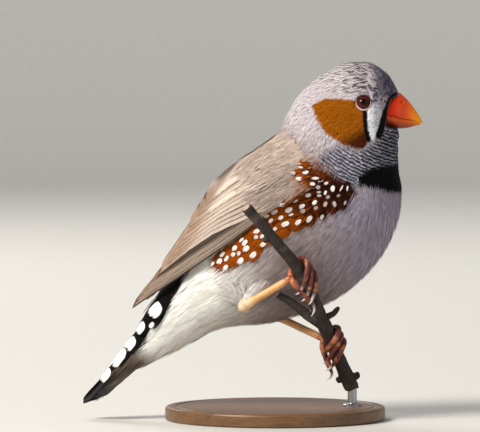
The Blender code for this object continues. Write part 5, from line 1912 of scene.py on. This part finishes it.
def scaledTube(path, radii, scute, darkness, sides=16):  # a limb with plates, each stepping in at its lower edge
    rows, at = resample(np.column_stack([path, radii]), scute / 5)
    phase = (at / scute) % 1.0
    step = 0.06 * (1 - phase) ** 1.5 - 0.03 + 0.02 * ramp(phase, 0.7, 1.0)
    joint = np.exp(-(np.minimum(phase, 1 - phase) / 0.12) ** 2)
    rings = sweepTube(rows, sides, lambda i, point, way: np.full(sides, 1 + step[i]))
    points, faces = closedRings(rings)
    tone = np.concatenate([np.repeat(joint, sides), [0.0, 0.0]]) * darkness
    return points, faces, tone


def buildLeg(side):
    centre, radius, up = perchFrame(leg[side])
    hock = np.array(thighs[side]["hock"])
    palm = unit((hock - centre) - up * up.dot(hock - centre))
    sideways = -np.cross(up, palm)
    knuckle = centre + palm * (radius + leg["gap"] + leg["knuckle"])
    parts, claws = [], []

    def aboutPerch(turn, height, distance):  # a point round the perch, from the palm's side of it
        return centre + up * height + turnedTo(palm, sideways, math.radians(turn)) * distance

    inward = unit(np.array(thighs[side]["start"]) - hock)
    shin = knuckle - hock
    shank = [
        hock + inward * 2.4, hock + inward * 1.0, *(hock + shin * share for share in (0, 0.1, 0.26, 0.6)), knuckle
    ]
    ankle, thin, thick = leg["hock"], leg["shank"], leg["knuckle"]
    radii = [0.9, ankle * 0.92, ankle, ankle * 0.85, thin, thin * 0.92, thick * 0.92]
    parts.append(scaledTube(shank, radii, leg["scute"], 0.35))
    points, faces = closedRings(hock + ballRings(14, 22) * ankle * 0.98)  # the round ankle joint
    parts.append((points, faces, np.zeros(len(points))))
    for toe, tip in leg["toes"]:
        path = []
        for turn, height, lift in toe:
            local = perchFrame(leg[side] - height / 10)[1]
            path.append(aboutPerch(turn, height, local + leg["grip"] + leg["toe"] + lift))
        width = [leg["toe"] * share for share in leg["toeWidths"][: len(path)]]
        parts.append(scaledTube(np.array(path), width, leg["toeScute"], 1.0))
        for middle in path[1:-1]:  # pads under the joints
            toward = unit((centre + up * (middle - centre).dot(up)) - middle)
            points, faces = closedRings(middle + toward * 0.22 + ballRings(8, 12) * leg["pad"])
            parts.append((points, faces, np.full(len(points), 0.15)))
        tipPath = [path[-1] * 0.75 + path[-2] * 0.25, path[-1]]
        tipPath += [aboutPerch(turn, height, radius + leg["grip"] + 0.4 + lift) for turn, height, lift in tip]
        rows, _ = resample(np.column_stack([tipPath, leg["claw"]]), 0.15)
        share = np.concatenate([np.repeat(np.linspace(0, 1, len(rows)), 12), [0.0, 1.0]])
        horn = mixed(hexColour("#4a2a24"), hexColour("#d8ccc2"), ramp(share, 0.05, 0.7))
        claws.append((*closedRings(sweepTube(rows, 12)), horn))
    points, faces, tone = joined(parts)
    fromKnuckle = np.linalg.norm(points - knuckle, axis=-1)
    alongShin = (points - knuckle) @ unit(hock - knuckle)
    # the toes darken from the knuckle outwards: painted shade
    tint = mixed(hexColour("#c27049"), hexColour("#6c2e26"), ramp(fromKnuckle, 0.8, 4.2))
    tint = mixed(tint, hexColour("#d98a56"), 0.55 * ramp(patchy(points, 2.6, 12), 0.5, 0.8))
    tint = mixed(tint, tint * 0.45, 0.8 * ramp(patchy(points, 1.7, 14), 0.55, 0.8))
    tint = mixed(tint, hexColour("#e3ac70"), ramp(alongShin, 0.6, 2.6))
    tint = mixed(tint, hexColour("#eec6a0"), ramp(-np.linalg.norm(points - hock, axis=-1), -3.4, -1.6))
    piece = makePiece("leg" + side.title(), points, faces, legSkin, "legs", tint, {"joint": tone})
    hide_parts("leg_" + side)
    points, faces, horn = joined(claws)
    makePiece("claws" + side.title(), points, faces, claw, "legs", horn)


buildLeg("right")
buildLeg("left")

print("stage: stand")
stand = {"radius": 26.0, "thick": 3.2, "edge": 0.7, "rod": 1.1, "rodAt": (18.2, -1.0), "rodTop": 7.45}


def woodMaterial():
    # Turned hardwood with a thin oil finish: straight grain about 1.2 mm apart, pores drawn along it
    material, add, shader = startMaterial(
        "standWood", {"Roughness": 0.42, "Coat Weight": 0.15, "Coat Roughness": 0.3}
    )
    place = add("TexCoord", out="Object")
    grainPlace = add("Mapping", {"Vector": place, "Scale": (0.06, 1.0, 1.0)})
    grain = add("TexNoise", {"Vector": grainPlace, "Scale": 420.0, "Detail": 5.0, "Distortion": 0.6})
    pores = add("TexNoise", {"Vector": grainPlace, "Scale": 2600.0})
    base = add("Mix", [grain, rgba("#3f2818"), rgba("#8a6138")])
    poreShade = add("MapRange", [pores, 0.35, 0.5, 0.7, 1.0])
    final = add("Mix", [1.0, base, poreShade], blend_type="MULTIPLY")
    bump = add("Bump", {"Height": pores, "Strength": 0.2, "Distance": 0.0001})
    plug(shader, {"Base Color": final, "Normal": bump})
    return material


def steelMaterial():
    # Brushed stainless steel rod and collar
    material, add, shader = startMaterial("standSteel", {"Roughness": 0.28, "Metallic": 1.0})
    place = add("TexCoord", out="Object")
    brushPlace = add("Mapping", {"Vector": place, "Scale": (1.0, 1.0, 12.0)})
    brush = add("TexNoise", {"Vector": brushPlace, "Scale": 900.0})
    tone = add("Mix", [brush, rgba("#8d8f92"), rgba("#c2c4c6")])
    rough = add("MapRange", [brush, 0.3, 0.7, 0.22, 0.38])
    plug(shader, {"Base Color": tone, "Roughness": rough})
    return material


def turnedPiece(name, outline, centre, material, slotName, sides=96):  # lathe work about an upright axis
    piece = makePiece(name, *closedRings(levelRings(outline, sides, centre)), material, slotName)
    bpy.ops.object.select_all(action="DESELECT")
    piece.select_set(True)
    bpy.context.view_layer.objects.active = piece
    bpy.ops.object.shade_smooth_by_angle(angle=math.radians(35))
    return piece


edge, radius, thick = stand["edge"], stand["radius"], stand["thick"]
outline = [(radius - 0.4, 0.0), (radius, 0.4)]
for turn in np.linspace(0, math.pi / 2, 7):
    outline.append((radius - edge + edge * math.cos(turn), thick - edge + edge * math.sin(turn)))
groove = ((2.2, 0.0), (2.4, 0.18), (2.8, 0.18), (3.0, 0.0))  # mm in from the rim, and deep
outline += [(radius - inside, thick - deep) for inside, deep in groove] + [(radius * 0.5, thick)]
piece = turnedPiece("standBase", outline, (0, 0), woodMaterial(), "stand_wood")
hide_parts("stand_base")
collar = ((2.3, -0.02), (2.3, 0.35), (2.05, 0.6), (1.35, 0.7), (stand["rod"], 0.8))
rodOutline = [(r, thick + z) for r, z in collar] + [(stand["rod"], stand["rodTop"])]
piece = turnedPiece("standRod", rodOutline, stand["rodAt"], steelMaterial(), "stand_steel", 40)
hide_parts("stand_rod")

print("stage: floor, light, camera")
backdrop = {"flat": 1500.0, "curve": 450.0, "steepest": 80}
profileLine = [(0.01, 0.0), (60.0, 0.0), (400.0, 0.0), (backdrop["flat"], 0.0)]
for turn in np.linspace(0, math.radians(backdrop["steepest"]), 16)[1:]:
    profileLine.append(
        (backdrop["flat"] + backdrop["curve"] * math.sin(turn), backdrop["curve"] * (1 - math.cos(turn)))
    )
points = np.concatenate(levelRings(profileLine, 128))
floorFaces = ringFaces(len(profileLine), 128)
first = points[floorFaces[0]]
if np.cross(first[1] - first[0], first[2] - first[0])[2] < 0:
    floorFaces = floorFaces[:, ::-1]
mesh = bpy.data.meshes.new("floor")
mesh.from_pydata([tuple(p * mm) for p in points], [], [tuple(int(i) for i in f) for f in floorFaces])
mesh.shade_smooth()
floor = addObject("floor", mesh)
paper, add, shader = startMaterial("paperBackdrop", {"Roughness": 0.9})
place = add("TexCoord", out="Object")
fibre = add("TexNoise", {"Vector": place, "Scale": 300.0, "Detail": 3.0})
paperColour = add("Mix", [fibre, rgba("#c4c1bb"), rgba("#cdcac4")])
plug(shader, {"Base Color": paperColour})
mesh.materials.append(paper)


def areaLight(name, place, target, size, power, colour):
    light = bpy.data.lights.new(name, "AREA")
    light.size, light.energy, light.color = size, power, colour
    lamp = addObject(name, light)
    lamp.location = place
    lamp.rotation_euler = (Vector(target) - Vector(place)).to_track_quat("-Z", "Y").to_euler()


middle = (0.0, 0.0, 0.05)
areaLight("keyLight", (-0.75, -0.6, 0.85), middle, 0.5, 22.0, (1.0, 0.96, 0.9))
areaLight("fillLight", (0.9, -0.9, 0.35), middle, 0.9, 1.6, (0.9, 0.95, 1.0))
areaLight("backLight", (-0.4, 0.8, 0.7), middle, 0.5, 5.0, (1.0, 0.98, 0.94))
areaLight("backdropLight", (0.0, 0.9, 1.4), (0.0, 1.8, 0.2), 1.2, 8.0, (1.0, 0.99, 0.97))
world = bpy.data.worlds.new("studio")
world.use_nodes = True
world.node_tree.nodes["Background"].inputs[0].default_value = (0.9, 0.93, 1.0, 1.0)
world.node_tree.nodes["Background"].inputs[1].default_value = 0.3
bpy.context.scene.world = world
bpy.context.scene.view_settings.view_transform = "Standard"

view = {"distance": 1200.0, "span": 113.3, "aim": (-8.3, 0.0, 48.1), "elevation": 2.5, "azimuth": 0.0}
e, a = math.radians(view["elevation"]), math.radians(view["azimuth"])
aim = Vector(view["aim"]) * mm
back = Vector((math.sin(a) * math.cos(e), -math.cos(a) * math.cos(e), math.sin(e)))
camera = bpy.data.cameras.new("camera")
camera.lens = 36.0 * view["distance"] / view["span"]
camera.clip_end = 20.0
cameraObject = addObject("camera", camera)
cameraObject.location = aim + back * view["distance"] * mm
cameraObject.rotation_euler = (-back).to_track_quat("-Z", "Y").to_euler()
bpy.context.scene.camera = cameraObject
